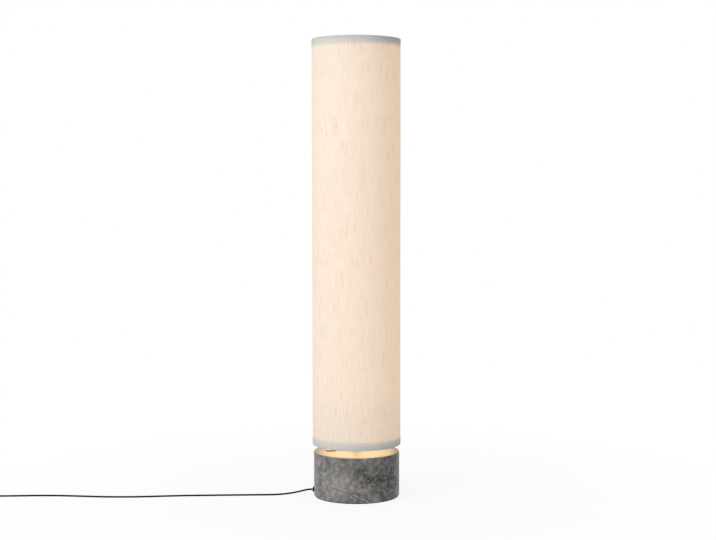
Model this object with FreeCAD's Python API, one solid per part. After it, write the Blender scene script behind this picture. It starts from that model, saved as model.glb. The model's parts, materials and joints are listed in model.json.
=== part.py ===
"""Column floor lamp: a turned stone base, a lit column on a steel spine, and a tall cloth drum shade.

Millimetres, +Z up. The origin is on the floor, under the lamp's axis. The mains cord and the dimmer
button are on the -X side. Every separate piece of the lamp is written to its own STEP file.
"""

import FreeCAD
import Part

import math
import os

OUT = "parts"
V = FreeCAD.Vector
UP = V(0, 0, 1)

# ---------------------------------------------------------------- driving dimensions
LAMP_HEIGHT = 1200.0
SHADE_DIAMETER = 233.0  # over the edge tape
SHADE_GAP = 19.0  # daylight between the stone and the shade
BASE_DIAMETER = 226.0
BASE_HEIGHT = 117.0  # the stone by itself
FOOT_THICKNESS = 2.0

FIT = 0.05  # radial clearance of pieces that push together
RUNNING = 0.3  # clearance between pieces that move past each other

# stone base
STONE_TOP_ROUND = 3.0
STONE_FOOT_BEVEL = 1.2
CAVITY_WALL = 29.0  # stone left round the cavity
ROOF_THICKNESS = 40.0  # stone left over the cavity
FOOT_RING_WIDTH = 10.0
FOOT_RING_INSET = 2.2
PLATE_THICKNESS = 3.0
PLATE_RIM = 13.5  # stone left round the plate
PLATE_SCREWS = 4
PLATE_SCREW_MARGIN = 7.5  # from the plate's edge to its screws
PLATE_SCREW_LENGTH = 11.0
INSERT_DIAMETER = 6.4
INSERT_LENGTH = 10.0
M4 = 4.0
M4_HEAD = 7.8

# mains cord
CORD_DIAMETER = 4.6
CORD_HEIGHT = 15.0  # centre of the hole in the stone
GROMMET_FLANGE = 14.0
GROMMET_BODY = 10.0
GROMMET_PROUD = 3.5
GROMMET_DEPTH = 9.0
CORD_INNER_END = -46.0  # where the sheath is stripped, inside the base
CORE_DIAMETER = 2.0
CORE_PITCH = 5.0

# dimmer button, in the stone's roof
BUTTON_FROM_EDGE = 46.0  # from the stone's edge to the button's centre
BUTTON_DIAMETER = 28.0
BUTTON_PROUD = 3.0
BUTTON_THICKNESS = 4.0
BUTTON_TRAVEL = 1.2
BUTTON_STEM = 6.0
BUSH_BARREL = 16.0
BUSH_FLANGE = 24.0
BUSH_FLANGE_THICKNESS = 1.5
BUSH_LENGTH = 45.5
BUSH_NUT_DIAMETER = 22.0
BUSH_NUT_HEIGHT = 5.0
SPRING_SEAT_DEPTH = 12.0
SPRING_DIAMETER = 9.6
SPRING_WIRE = 1.0
SPRING_TURNS = 5
CLIP_DIAMETER = 11.0
CLIP_THICKNESS = 0.8
STEM_TAIL = 2.4  # stem left below the clip

# spine and lit column
SPINE_DIAMETER = 16.0
SPINE_WALL = 1.5
COLLAR_DIAMETER = 25.0
COLLAR_THICKNESS = 3.0
SLEEVE_DIAMETER = 20.0
NUT_ACROSS_FLATS = 24.0
NUT_THICKNESS = 8.0
WASHER_DIAMETER = 30.0
WASHER_THICKNESS = 2.0
CARRIER_RISE = 12.0  # underside of the carrier above the shade's lower edge
CARRIER_LIP = 5.0  # how far it reaches under the shade's hub
CARRIER_THICKNESS = 4.0
DIFFUSER_DIAMETER = 70.0
DIFFUSER_WALL = 2.0
COLUMN_CAP_DROP = 44.0  # top of the column's cap below the shade's upper edge
CAP_THICKNESS = 10.0
CAP_SPIGOT = 6.0
PROFILE_WIDTH = 26.0
PROFILE_GAP = 6.0  # over the carrier's boss
STRIP_WIDTH = 14.0
STRIP_THICKNESS = 1.2
STRIP_MARGIN = 4.0
CHIPS_PER_STRIP = 24
CHIP_SIZE = (3.5, 2.8, 0.8)
BOARD_DIAMETER = 58.0
BOARD_THICKNESS = 1.6
CONNECTOR_X = 12.0
CONNECTOR_SIZE = (7.0, 8.0, 4.0)

# shade
LINER_THICKNESS = 0.6
CLOTH_THICKNESS = 0.6
TAPE_THICKNESS = 0.5
TAPE_HEIGHT = 15.0
TAPE_TURN_IN = 5.5
RING_WIRE = 4.0
SPOKE_WIRE = 3.5
SPOKES = 3
FIRST_SPOKE = 90.0  # degrees round from +X
HUB_WIDTH = 8.0
HUB_THICKNESS = 3.0
SEAM_WIDTH = 12.0
SEAM_PROUD = 0.4

# LED driver, terminal block and switch box, on the base plate and under the roof
DRIVER_SIZE = (90.0, 38.0, 24.0)
DRIVER_CENTRE = (8.0, 34.0)
DRIVER_EAR = 8.0
VENT_WIDTH = 6.0
VENT_DEPTH = 1.0
VENT_MARGIN = 7.6
BLOCK_SIZE = (16.0, 18.0, 14.0)
BLOCK_CENTRE = (-30.0, 0.0)
TERMINAL_SCREW_R = 1.7
SADDLE_CENTRE_X = -58.0
SADDLE_WIDTH = 8.0
SADDLE_THICKNESS = 2.0
SADDLE_EAR = 9.0
M3 = 3.0
M3_HEAD = 5.6
M3_HEAD_HEIGHT = 1.8
BRACKET_WIDTH = 18.0
BRACKET_SPAN = 29.0
BRACKET_SHEET = 1.5
BRACKET_DROP = 32.5
SWITCH_BOX = (16.0, 22.0, 13.0)
PLUNGER_DIAMETER = 3.5
PLUNGER_LENGTH = 10.0
LED_LEAD_DIAMETER = 3.0
LED_LEAD_CLEARANCE = 1.0
SWITCH_LEAD_DIAMETER = 3.0

# plug, two round pins
PLUG_LENGTH = 33.0
PLUG_WIDTH = 35.3
PLUG_THICKNESS = 13.7
PLUG_NECK = 20.0  # width at the cord's end
PIN_DIAMETER = 4.0
PIN_LENGTH = 19.0
PIN_PITCH = 18.6
PIN_ROOT = 8.0  # length of each pin inside the body
SLEEVE_STEP = 0.3  # how much thinner the root is
RELIEF_LENGTH = 22.0
RELIEF_WIDE = 9.0
RELIEF_NARROW = 6.4

# the cord's route, chosen point by point: out of the grommet, down to the floor and away to the left
COIL_CENTRE = (-991.0, 12.0)
COIL_MIDDLE_RADIUS = 25.8
COIL_HALF_WIDTH = 7.2
COIL_LAYERS = 2
COIL_STUB = 25.0
TIE_WIDTH = 10.0
TIE_SHEET = 1.2
CORD_PITCH = CORD_DIAMETER + 0.2
FLOOR_Z = CORD_DIAMETER / 2 + 0.05
COIL_OUTER = COIL_MIDDLE_RADIUS + COIL_HALF_WIDTH
LANE_Y = COIL_CENTRE[1] - COIL_OUTER  # the coil's near side, where the cord comes in and goes out
SECOND_LAYER_Z = FLOOR_Z + CORD_PITCH

# ---------------------------------------------------------------- heights and radii that follow
STONE_FOOT = FOOT_THICKNESS
STONE_TOP = STONE_FOOT + BASE_HEIGHT
BASE_R = BASE_DIAMETER / 2
CAVITY_R = BASE_R - CAVITY_WALL
PLATE_R = BASE_R - PLATE_RIM
PLATE_SCREW_R = PLATE_R - PLATE_SCREW_MARGIN
ROOF_UNDER = STONE_TOP - ROOF_THICKNESS
PLATE_TOP = STONE_FOOT + PLATE_THICKNESS
SHADE_FOOT = STONE_TOP + SHADE_GAP
SHADE_R = SHADE_DIAMETER / 2
CLOTH_R = SHADE_R - TAPE_THICKNESS
LINER_R = CLOTH_R - CLOTH_THICKNESS
LINER_IN_R = LINER_R - LINER_THICKNESS
RING_R = LINER_IN_R - RING_WIRE / 2
TURN_IN_R = RING_R - RING_WIRE / 2  # the turned-in tape lies on the ring's inside

SPINE_R = SPINE_DIAMETER / 2
SPINE_BORE_R = SPINE_R - SPINE_WALL
CARRIER_UNDER = SHADE_FOOT + CARRIER_RISE
CARRIER_TOP = CARRIER_UNDER + CARRIER_THICKNESS
DIFFUSER_R = DIFFUSER_DIAMETER / 2
DIFFUSER_IN_R = DIFFUSER_R - DIFFUSER_WALL
BOSS_R = DIFFUSER_R + 1.7  # the shade's hub centres on this boss
BOSS_TOP = CARRIER_TOP + 4.0
CAP_TOP = LAMP_HEIGHT - COLUMN_CAP_DROP
CAP_UNDER = CAP_TOP - CAP_THICKNESS
PROFILE_FOOT = BOSS_TOP + PROFILE_GAP
PROFILE_TOP = CAP_UNDER - CAP_SPIGOT
BOARD_TOP = BOSS_TOP + BOARD_THICKNESS
LED_LEAD_Z = BOARD_TOP + CONNECTOR_SIZE[2] / 2
HUB_IN_R = BOSS_R + RUNNING
HUB_OUT_R = HUB_IN_R + HUB_WIDTH
CARRIER_R = HUB_IN_R + CARRIER_LIP

BUTTON_X = -(BASE_R - BUTTON_FROM_EDGE)
BUTTON_TOP = STONE_TOP + BUTTON_PROUD
BUTTON_UNDER = BUTTON_TOP - BUTTON_THICKNESS
BUSH_TOP = BUTTON_UNDER - BUTTON_TRAVEL - RUNNING
BUSH_SEAT = BUSH_TOP - BUSH_FLANGE_THICKNESS
BUSH_FOOT = BUSH_SEAT - BUSH_LENGTH
SPRING_SEAT = BUSH_TOP - SPRING_SEAT_DEPTH
CLIP_TOP = BUSH_FOOT - RUNNING
STEM_TIP = CLIP_TOP - CLIP_THICKNESS - STEM_TAIL
BRACKET_FOOT = ROOF_UNDER - BRACKET_DROP

CORD_EXIT_X = -(BASE_R + GROMMET_PROUD)
STUB_IN_X = COIL_CENTRE[0] + COIL_STUB
STUB_OUT_X = COIL_CENTRE[0] - COIL_STUB
PLUG_Z = PLUG_THICKNESS / 2
RELIEF_TIP_X = STUB_OUT_X - 37.0
RELIEF_ROOT_X = RELIEF_TIP_X - RELIEF_LENGTH
PLUG_FACE_X = RELIEF_ROOT_X - PLUG_LENGTH

CORD_ROUTE = [
    V(CORD_EXIT_X, 0, CORD_HEIGHT),
    V(-127, 0, CORD_HEIGHT),
    V(-141, -1.3, 12.2),
    V(-157, -3.2, 8.6),
    V(-177, -5.4, 5.4),
    V(-201, -7.6, 3.2),
    V(-229, -9.2, FLOOR_Z),
    V(-262, -9.6, FLOOR_Z),
    V(-302, -11.6, FLOOR_Z),
    V(-346, -12.9, FLOOR_Z),
    V(-392, -15.6, FLOOR_Z),
    V(-440, -17.2, FLOOR_Z),
    V(-494, -22.4, FLOOR_Z),
    V(-552, -30.2, FLOOR_Z),
    V(-612, -34.6, FLOOR_Z),
    V(-672, -31.8, FLOOR_Z),
    V(-730, -23.4, FLOOR_Z),
    V(-786, -16.8, FLOOR_Z),
    V(-840, -15.2, FLOOR_Z),
    V(-890, -18.6, FLOOR_Z),
    V(-930, LANE_Y, FLOOR_Z),
    V(STUB_IN_X, LANE_Y, FLOOR_Z),
]
LEAD_OUT_ROUTE = [
    V(STUB_OUT_X, LANE_Y, SECOND_LAYER_Z),
    V(STUB_OUT_X - 9, LANE_Y, SECOND_LAYER_Z),
    V(STUB_OUT_X - 18, LANE_Y - 0.8, SECOND_LAYER_Z - 0.9),
    V(STUB_OUT_X - 28, LANE_Y, PLUG_Z),
    V(RELIEF_TIP_X, LANE_Y, PLUG_Z),
]


# ---------------------------------------------------------------- helpers
def cyl(radius, bottom, top, x=0.0, y=0.0):
    """Upright cylinder between two heights."""
    return Part.makeCylinder(radius, top - bottom, V(x, y, bottom))


def tube(inner, outer, bottom, top, x=0.0, y=0.0):
    """Upright ring or tube."""
    return cyl(outer, bottom, top, x, y).cut(cyl(inner, bottom, top, x, y))


def lying(radius, x0, x1, y, z):
    """Cylinder along X between two places."""
    return rod(radius, V(x0, y, z), V(x1, y, z))


def rod(radius, start, end):
    """Cylinder between two points."""
    along = end - start
    return Part.makeCylinder(radius, along.Length, start, along)


def block(x0, x1, y0, y1, z0, z1):
    """Box between two corners."""
    return Part.makeBox(x1 - x0, y1 - y0, z1 - z0, V(x0, y0, z0))


def block_at(size, centre_x, centre_y, bottom):
    """Box of a size, centred over a point."""
    length, width, height = size
    return block(
        centre_x - length / 2,
        centre_x + length / 2,
        centre_y - width / 2,
        centre_y + width / 2,
        bottom,
        bottom + height,
    )


def turned(outline):
    """Solid of revolution from (radius, height) corners."""
    corners = [V(r, 0, z) for r, z in outline]
    face = Part.Face(Part.makePolygon(corners + corners[:1]))
    return face.revolve(V(0, 0, 0), UP, 360)


def around(shape, degrees):
    """A copy turned about the lamp's axis."""
    copy = shape.copy()
    copy.rotate(V(0, 0, 0), UP, degrees)
    return copy


def hexagon(across_flats, bottom, top, x=0.0, y=0.0):
    """Hexagonal bar."""
    corner = across_flats / math.sqrt(3)
    corners = [
        V(x + corner * math.cos(math.radians(60 * i)), y + corner * math.sin(math.radians(60 * i)), bottom)
        for i in range(6)
    ]
    face = Part.Face(Part.makePolygon(corners + corners[:1]))
    return face.extrude(V(0, 0, top - bottom))


def rounded_path(route, label):
    """Straight runs joined by tangent arcs, each arc as large as its two runs allow."""
    edges, at, radii = [], route[0], []
    for before, corner, after in zip(route, route[1:], route[2:]):
        into, out = corner - before, after - corner
        turn = into.getAngle(out)
        cut = 0.45 * min(into.Length, out.Length)
        start = corner - V(into).normalize() * cut
        end = corner + V(out).normalize() * cut
        radius = cut / math.tan(turn / 2)
        toward = (V(out).normalize() - V(into).normalize()).normalize()
        middle = corner + toward * (radius / math.cos(turn / 2) - radius)
        edges.append(Part.LineSegment(at, start).toShape())
        edges.append(Part.Arc(start, middle, end).toShape())
        at = end
        radii.append(radius)
    edges.append(Part.LineSegment(at, route[-1]).toShape())
    wire = Part.Wire(edges)
    print(f"{label}: {wire.Length:.0f} mm long, smallest bend {min(radii):.0f} mm")
    return wire


def cord_along(route, diameter, label):
    """Round cord along a route."""
    path = rounded_path(route, label)
    section = Part.Wire(Part.Circle(route[0], route[1] - route[0], diameter / 2).toShape())
    solid = path.makePipeShell([section], True, True)
    expected = path.Length * math.pi * diameter**2 / 4
    print(f"{label}: volume {solid.Volume / expected:.4f} of its section times its length")
    return solid


def screw(x, y, head_under, length, diameter, head_diameter, head_height, up=True):
    """Pan-head screw; up=True points its shank up."""
    way = 1 if up else -1
    shank_end = head_under + way * length
    head_end = head_under - way * head_height
    shank = cyl(diameter / 2, min(head_under, shank_end), max(head_under, shank_end), x, y)
    head = cyl(head_diameter / 2, min(head_under, head_end), max(head_under, head_end), x, y)
    slot = block_at((head_diameter, 0.8, 0.8), x, y, head_end - (0.8 if not up else 0))
    return shank.fuse(head).cut(slot).removeSplitter()


def save(name, *solids):
    """Writes one piece, or one group of like pieces, to its own file."""
    shape = solids[0] if len(solids) == 1 else Part.makeCompound(list(solids))
    if not shape.isValid() or shape.Volume <= 0:
        raise ValueError(f"{name} is not a sound solid")
    shape.exportStep(os.path.join(OUT, name + ".step"))


# ---------------------------------------------------------------- stone base
def plate_screw_places():
    """Centres of the base plate's screws."""
    places = []
    for i in range(PLATE_SCREWS):
        angle = math.radians(45 + 360 / PLATE_SCREWS * i)
        places.append((PLATE_SCREW_R * math.cos(angle), PLATE_SCREW_R * math.sin(angle)))
    return places


def stone_base():
    """Turned drum with a cavity below, and holes for the spine, the button and the cord."""
    drum = cyl(BASE_R, STONE_FOOT, STONE_TOP)
    top_edge = [e for e in drum.Edges if abs(e.CenterOfMass.z - STONE_TOP) < 0.01 and e.Closed]
    foot_edge = [e for e in drum.Edges if abs(e.CenterOfMass.z - STONE_FOOT) < 0.01 and e.Closed]
    drum = drum.makeFillet(STONE_TOP_ROUND, top_edge)
    foot_edge = [e for e in drum.Edges if abs(e.CenterOfMass.z - STONE_FOOT) < 0.01 and e.Closed]
    drum = drum.makeChamfer(STONE_FOOT_BEVEL, foot_edge)
    cuts = [
        cyl(CAVITY_R, STONE_FOOT, ROOF_UNDER),
        cyl(PLATE_R + RUNNING, STONE_FOOT, PLATE_TOP),
        cyl(SPINE_R + RUNNING, ROOF_UNDER, STONE_TOP),
        cyl(BUSH_BARREL / 2 + FIT, ROOF_UNDER, STONE_TOP, BUTTON_X),
        cyl(BUTTON_DIAMETER / 2 + 0.5, BUSH_SEAT, STONE_TOP, BUTTON_X),
        rod(CORD_DIAMETER / 2 + 0.4, V(-BASE_R, 0, CORD_HEIGHT), V(-CAVITY_R + 10, 0, CORD_HEIGHT)),
        lying(GROMMET_BODY / 2 + FIT, -BASE_R - 1, -BASE_R + GROMMET_DEPTH, 0, CORD_HEIGHT),
    ]
    for x, y in plate_screw_places():
        cuts.append(cyl(INSERT_DIAMETER / 2, PLATE_TOP, PLATE_TOP + INSERT_LENGTH + 1, x, y))
    return drum.cut(cuts)


def base_plate():
    """Steel disc that closes the cavity, with countersunk holes."""
    plate = cyl(PLATE_R, STONE_FOOT, PLATE_TOP)
    for x, y in plate_screw_places():
        plate = plate.cut(cyl(M4 / 2 + 0.2, STONE_FOOT, PLATE_TOP, x, y))
        sink = Part.makeCone(M4_HEAD / 2 + FIT, M4 / 2, (M4_HEAD - M4) / 2, V(x, y, STONE_FOOT))
        plate = plate.cut(sink)
    for x, y in plate_mounted_screws():
        plate = plate.cut(cyl(M3 / 2, STONE_FOOT, PLATE_TOP, x, y))
    return plate


def plate_screw(x, y):
    """Countersunk screw from below, flush with the plate."""
    head_height = (M4_HEAD - M4) / 2
    head = Part.makeCone(M4_HEAD / 2, M4 / 2, head_height, V(x, y, STONE_FOOT))
    shank = cyl(M4 / 2, STONE_FOOT, STONE_FOOT + PLATE_SCREW_LENGTH, x, y)
    slot = block_at((M4_HEAD, 1.0, 1.0), x, y, STONE_FOOT)
    return head.fuse(shank).cut(slot).removeSplitter()


def insert(x, y):
    """Brass threaded insert in the stone."""
    return tube(M4 / 2 + FIT, INSERT_DIAMETER / 2, PLATE_TOP, PLATE_TOP + INSERT_LENGTH, x, y)


def foot_ring():
    """Felt ring that the stone stands on."""
    outer = BASE_R - FOOT_RING_INSET
    return tube(outer - FOOT_RING_WIDTH, outer, 0, FOOT_THICKNESS)


def grommet():
    """Rubber cable entry, its flange curved to the stone."""
    flange = rod(GROMMET_FLANGE / 2, V(-BASE_R + 3, 0, CORD_HEIGHT), V(CORD_EXIT_X, 0, CORD_HEIGHT))
    rim = [e for e in flange.Edges if abs(e.CenterOfMass.x - CORD_EXIT_X) < 0.01 and e.Closed]
    flange = flange.makeFillet(GROMMET_PROUD * 0.55, rim).cut(cyl(BASE_R, 0, STONE_TOP))
    body = lying(GROMMET_BODY / 2, -BASE_R + GROMMET_DEPTH - 0.5, -BASE_R - 1, 0, CORD_HEIGHT)
    bore = rod(CORD_DIAMETER / 2 + FIT, V(-CAVITY_R, 0, CORD_HEIGHT), V(CORD_EXIT_X - 1, 0, CORD_HEIGHT))
    return flange.fuse(body).cut(bore).removeSplitter()


def make_base():
    """The stone and what closes it."""
    save("stone_base", stone_base())
    save("foot_ring", foot_ring())
    save("base_plate", base_plate())
    save("base_plate_screws", *[plate_screw(x, y) for x, y in plate_screw_places()])
    save("threaded_inserts", *[insert(x, y) for x, y in plate_screw_places()])
    save("cord_grommet", grommet())


# ---------------------------------------------------------------- wiring inside the base
def driver_ear_places():
    """Screw places at the two ends of the driver."""
    reach = DRIVER_SIZE[0] / 2 + DRIVER_EAR / 2
    return [(DRIVER_CENTRE[0] + side * reach, DRIVER_CENTRE[1]) for side in (-1, 1)]


def saddle_ear_places():
    """Screw places each side of the cord."""
    reach = CORD_DIAMETER / 2 + SADDLE_THICKNESS + SADDLE_EAR / 2
    return [(SADDLE_CENTRE_X, side * reach) for side in (-1, 1)]


def plate_mounted_screws():
    """Every small screw that goes into the base plate."""
    return driver_ear_places() + saddle_ear_places()


def driver():
    """LED driver: a closed box with an ear at each end."""
    box = block_at(DRIVER_SIZE, *DRIVER_CENTRE, PLATE_TOP)
    upright = [e for e in box.Edges if abs(e.Vertexes[0].Z - e.Vertexes[-1].Z) > 1]
    box = box.makeFillet(2.0, upright)
    ears = block_at((DRIVER_SIZE[0] + 2 * DRIVER_EAR, DRIVER_SIZE[1] * 0.4, 2.5), *DRIVER_CENTRE, PLATE_TOP)
    box = box.fuse(ears).removeSplitter()
    for x, y in driver_ear_places():
        box = box.cut(cyl(M3 / 2 + 0.2, PLATE_TOP, PLATE_TOP + 3, x, y))
    for i in range(-2, 3):
        vent = (VENT_WIDTH, DRIVER_SIZE[1] - 2 * VENT_MARGIN, VENT_DEPTH)
        x, z = DRIVER_CENTRE[0] + 2 * VENT_WIDTH * i, PLATE_TOP + DRIVER_SIZE[2] - VENT_DEPTH
        box = box.cut(block_at(vent, x, DRIVER_CENTRE[1], z))
    return box


def saddle():
    """Strain-relief saddle that presses the cord onto its pedestal."""
    outer_r = CORD_DIAMETER / 2 + SADDLE_THICKNESS
    x0, x1 = SADDLE_CENTRE_X - SADDLE_WIDTH / 2, SADDLE_CENTRE_X + SADDLE_WIDTH / 2
    arch = rod(outer_r, V(x0, 0, CORD_HEIGHT), V(x1, 0, CORD_HEIGHT))
    legs = block(x0, x1, -outer_r, outer_r, PLATE_TOP, CORD_HEIGHT)
    ear_reach = outer_r + SADDLE_EAR
    ears = block(x0, x1, -ear_reach, ear_reach, PLATE_TOP, PLATE_TOP + SADDLE_THICKNESS)
    shape = arch.fuse([legs, ears]).removeSplitter()
    bore = rod(CORD_DIAMETER / 2 + FIT, V(x0 - 1, 0, CORD_HEIGHT), V(x1 + 1, 0, CORD_HEIGHT))
    shape = shape.cut(bore)
    for x, y in saddle_ear_places():
        shape = shape.cut(cyl(M3 / 2 + 0.2, PLATE_TOP, PLATE_TOP + SADDLE_THICKNESS, x, y))
    return shape


def terminal_block():
    """Two-way terminal block with a port for each core at each end."""
    shape = block_at(BLOCK_SIZE, *BLOCK_CENTRE, CORD_HEIGHT - BLOCK_SIZE[2] / 2)
    stand_height = CORD_HEIGHT - BLOCK_SIZE[2] / 2 - PLATE_TOP
    stand = block_at((BLOCK_SIZE[0] * 0.6, BLOCK_SIZE[1] * 0.6, stand_height), *BLOCK_CENTRE, PLATE_TOP)
    shape = shape.fuse(stand)
    x0, x1 = BLOCK_CENTRE[0] - BLOCK_SIZE[0] / 2, BLOCK_CENTRE[0] + BLOCK_SIZE[0] / 2
    for side in (-1, 1):
        y = side * CORE_PITCH / 2
        port = rod(CORE_DIAMETER / 2 + RUNNING, V(x0 - 1, y, CORD_HEIGHT), V(x1 + 1, y, CORD_HEIGHT))
        well = cyl(TERMINAL_SCREW_R + 0.1, CORD_HEIGHT, CORD_HEIGHT + BLOCK_SIZE[2], BLOCK_CENTRE[0], y)
        shape = shape.cut([port, well])
    return shape


def terminal_screws():
    """The two clamping screws in the terminal block."""
    top = CORD_HEIGHT + BLOCK_SIZE[2] / 2 - 1
    made = []
    for side in (-1, 1):
        x, y = BLOCK_CENTRE[0], side * CORE_PITCH / 2
        body = cyl(TERMINAL_SCREW_R, CORD_HEIGHT + CORE_DIAMETER / 2 + 0.1, top, x, y)
        made.append(body.cut(block_at((4, 0.7, 0.8), x, y, top - 0.8)))
    return made


def mains_cores():
    """The two cores between the stripped sheath and the terminal block."""
    cores = []
    for side in (-1, 1):
        inner, outer = side * 1.1, side * CORE_PITCH / 2
        route = [
            V(CORD_INNER_END, inner, CORD_HEIGHT),
            V(CORD_INNER_END + 2.5, inner, CORD_HEIGHT),
            V(CORD_INNER_END + 6, outer, CORD_HEIGHT),
            V(BLOCK_CENTRE[0] - 1, outer, CORD_HEIGHT),
        ]
        cores.append(cord_along(route, CORE_DIAMETER, f"mains core {side:+d}"))
    return cores


def driver_cores():
    """The two cores from the terminal block to the driver."""
    side_y = DRIVER_CENTRE[1] - DRIVER_SIZE[1] / 2
    cores = []
    for side in (-1, 1):
        y, reach = side * CORE_PITCH / 2, 6 - 2 * side
        route = [
            V(BLOCK_CENTRE[0] + 1, y, CORD_HEIGHT),
            V(BLOCK_CENTRE[0] + BLOCK_SIZE[0] / 2 + reach, y, CORD_HEIGHT),
            V(BLOCK_CENTRE[0] + BLOCK_SIZE[0] / 2 + reach + 4, y + 6, CORD_HEIGHT),
            V(BLOCK_CENTRE[0] + BLOCK_SIZE[0] / 2 + reach + 4, side_y, CORD_HEIGHT),
        ]
        cores.append(cord_along(route, CORE_DIAMETER, f"driver core {side:+d}"))
    return cores


def led_lead():
    """Lead from the driver, up inside the spine and out onto the ring board."""
    driver_top = PLATE_TOP + DRIVER_SIZE[2]
    route = [
        V(0, DRIVER_CENTRE[1] - 9, driver_top),
        V(0, DRIVER_CENTRE[1] - 9, driver_top + 12),
        V(0, 14, driver_top + 20),
        V(0, 3, driver_top + 21),
        V(0, 0, driver_top + 36),
        V(0, 0, LED_LEAD_Z - 10),
        V(0.5, 0, LED_LEAD_Z - 1.2),
        V(6, 0, LED_LEAD_Z),
        V(CONNECTOR_X, 0, LED_LEAD_Z),
    ]
    return cord_along(route, LED_LEAD_DIAMETER, "LED lead")


def switch_lead():
    """Lead from the switch box to the driver's end."""
    box_x = BUTTON_X + SWITCH_BOX[0] / 2
    z = BRACKET_FOOT + SWITCH_BOX[2] / 2
    driver_end = DRIVER_CENTRE[0] - DRIVER_SIZE[0] / 2
    route = [
        V(box_x, 6, z),
        V(box_x + 6, 6, z),
        V(box_x + 13, 18, z - 14),
        V(driver_end - 9, DRIVER_CENTRE[1] + 4, PLATE_TOP + DRIVER_SIZE[2] * 0.6),
        V(driver_end, DRIVER_CENTRE[1] + 4, PLATE_TOP + DRIVER_SIZE[2] * 0.6),
    ]
    return cord_along(route, SWITCH_LEAD_DIAMETER, "switch lead")


def make_wiring():
    """What feeds the light."""
    save("led_driver", driver())
    save("cord_saddle", saddle())
    save("terminal_block", terminal_block())
    save("terminal_screws", *terminal_screws())
    small = [
        screw(x, y, PLATE_TOP + lift, lift + PLATE_THICKNESS - 0.5, M3, M3_HEAD, M3_HEAD_HEIGHT, up=False)
        for places, lift in ((driver_ear_places(), 2.5), (saddle_ear_places(), SADDLE_THICKNESS))
        for x, y in places
    ]
    save("plate_mounted_screws", *small)
    save("cord_inside_base", lying(CORD_DIAMETER / 2, CORD_EXIT_X, CORD_INNER_END, 0, CORD_HEIGHT))
    save("mains_cores", *mains_cores())
    save("driver_cores", *driver_cores())
    save("led_lead", led_lead())
    save("switch_lead", switch_lead())


# ---------------------------------------------------------------- dimmer button
def button_cap():
    """Round cap and its stem, turned in one piece."""
    cap = cyl(BUTTON_DIAMETER / 2, BUTTON_UNDER, BUTTON_TOP, BUTTON_X)
    rim = [e for e in cap.Edges if abs(e.CenterOfMass.z - BUTTON_TOP) < 0.01 and e.Closed]
    cap = cap.makeFillet(0.8, rim)
    stem = cyl(BUTTON_STEM / 2, STEM_TIP, BUTTON_UNDER, BUTTON_X)
    groove = tube(BUTTON_STEM / 2 - 0.6, BUTTON_STEM / 2, CLIP_TOP - CLIP_THICKNESS, CLIP_TOP, BUTTON_X)
    return cap.fuse(stem).cut(groove).removeSplitter()


def button_bush():
    """Flanged brass barrel through the stone, bored for the stem and the spring."""
    flange = cyl(BUSH_FLANGE / 2, BUSH_SEAT, BUSH_TOP, BUTTON_X)
    barrel = cyl(BUSH_BARREL / 2, BUSH_FOOT, BUSH_SEAT, BUTTON_X)
    bore = cyl(BUTTON_STEM / 2 + FIT, BUSH_FOOT, BUSH_TOP, BUTTON_X)
    seat = cyl(SPRING_DIAMETER / 2 + 0.6, SPRING_SEAT, BUSH_TOP, BUTTON_X)
    return flange.fuse(barrel).cut([bore, seat]).removeSplitter()


def button_spring():
    """Return spring between the bush and the cap."""
    bottom = SPRING_SEAT + SPRING_WIRE / 2 + 0.1
    height = BUTTON_UNDER - 0.1 - SPRING_WIRE / 2 - bottom
    radius = (SPRING_DIAMETER - SPRING_WIRE) / 2
    helix = Part.makeHelix(height / SPRING_TURNS, height, radius)
    helix.translate(V(BUTTON_X, 0, bottom))
    start = V(BUTTON_X + radius, 0, bottom)
    section = Part.Wire(Part.Circle(start, V(0, 1, 0), SPRING_WIRE / 2).toShape())
    return Part.Wire(helix.Edges).makePipeShell([section], True, True)


def button_clip():
    """Spring clip in the stem's groove."""
    ring = tube(BUTTON_STEM / 2 - 0.55, CLIP_DIAMETER / 2, CLIP_TOP - CLIP_THICKNESS, CLIP_TOP, BUTTON_X)
    mouth = block(BUTTON_X, BUTTON_X + CLIP_DIAMETER, -1.9, 1.9, CLIP_TOP - 2, CLIP_TOP + 1)
    return ring.cut(mouth)


def button_nut():
    """Ring nut on the barrel, under the bracket."""
    top = ROOF_UNDER - BRACKET_SHEET
    foot, outer = top - BUSH_NUT_HEIGHT, BUSH_NUT_DIAMETER / 2
    ring = tube(BUSH_BARREL / 2, outer, foot, top, BUTTON_X)
    notches = [block_at((3, 2.4, BUSH_NUT_HEIGHT), BUTTON_X, side * outer, foot) for side in (-1, 1)]
    return ring.cut(notches)


def switch_bracket():
    """Sheet strap hung on the barrel; the switch box sits in its loop."""
    x0, x1 = BUTTON_X - BRACKET_WIDTH / 2, BUTTON_X + BRACKET_WIDTH / 2
    half = BRACKET_SPAN / 2
    outer = block(x0, x1, -half, half, BRACKET_FOOT - BRACKET_SHEET, ROOF_UNDER)
    inner = block(
        x0, x1, -half + BRACKET_SHEET, half - BRACKET_SHEET, BRACKET_FOOT, ROOF_UNDER - BRACKET_SHEET
    )
    hole = cyl(BUSH_BARREL / 2 + FIT, BRACKET_FOOT, ROOF_UNDER, BUTTON_X)
    return outer.cut([inner, hole])


def switch_box():
    """Push-dimmer module."""
    box = block_at(SWITCH_BOX, BUTTON_X, 0, BRACKET_FOOT)
    box = box.makeFillet(1.2, [e for e in box.Edges if abs(e.Vertexes[0].Z - e.Vertexes[-1].Z) > 1])
    foot = STEM_TIP - PLUNGER_LENGTH - BUTTON_TRAVEL - RUNNING
    return box.cut(cyl(PLUNGER_DIAMETER / 2 + FIT, foot, STEM_TIP, BUTTON_X))


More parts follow.
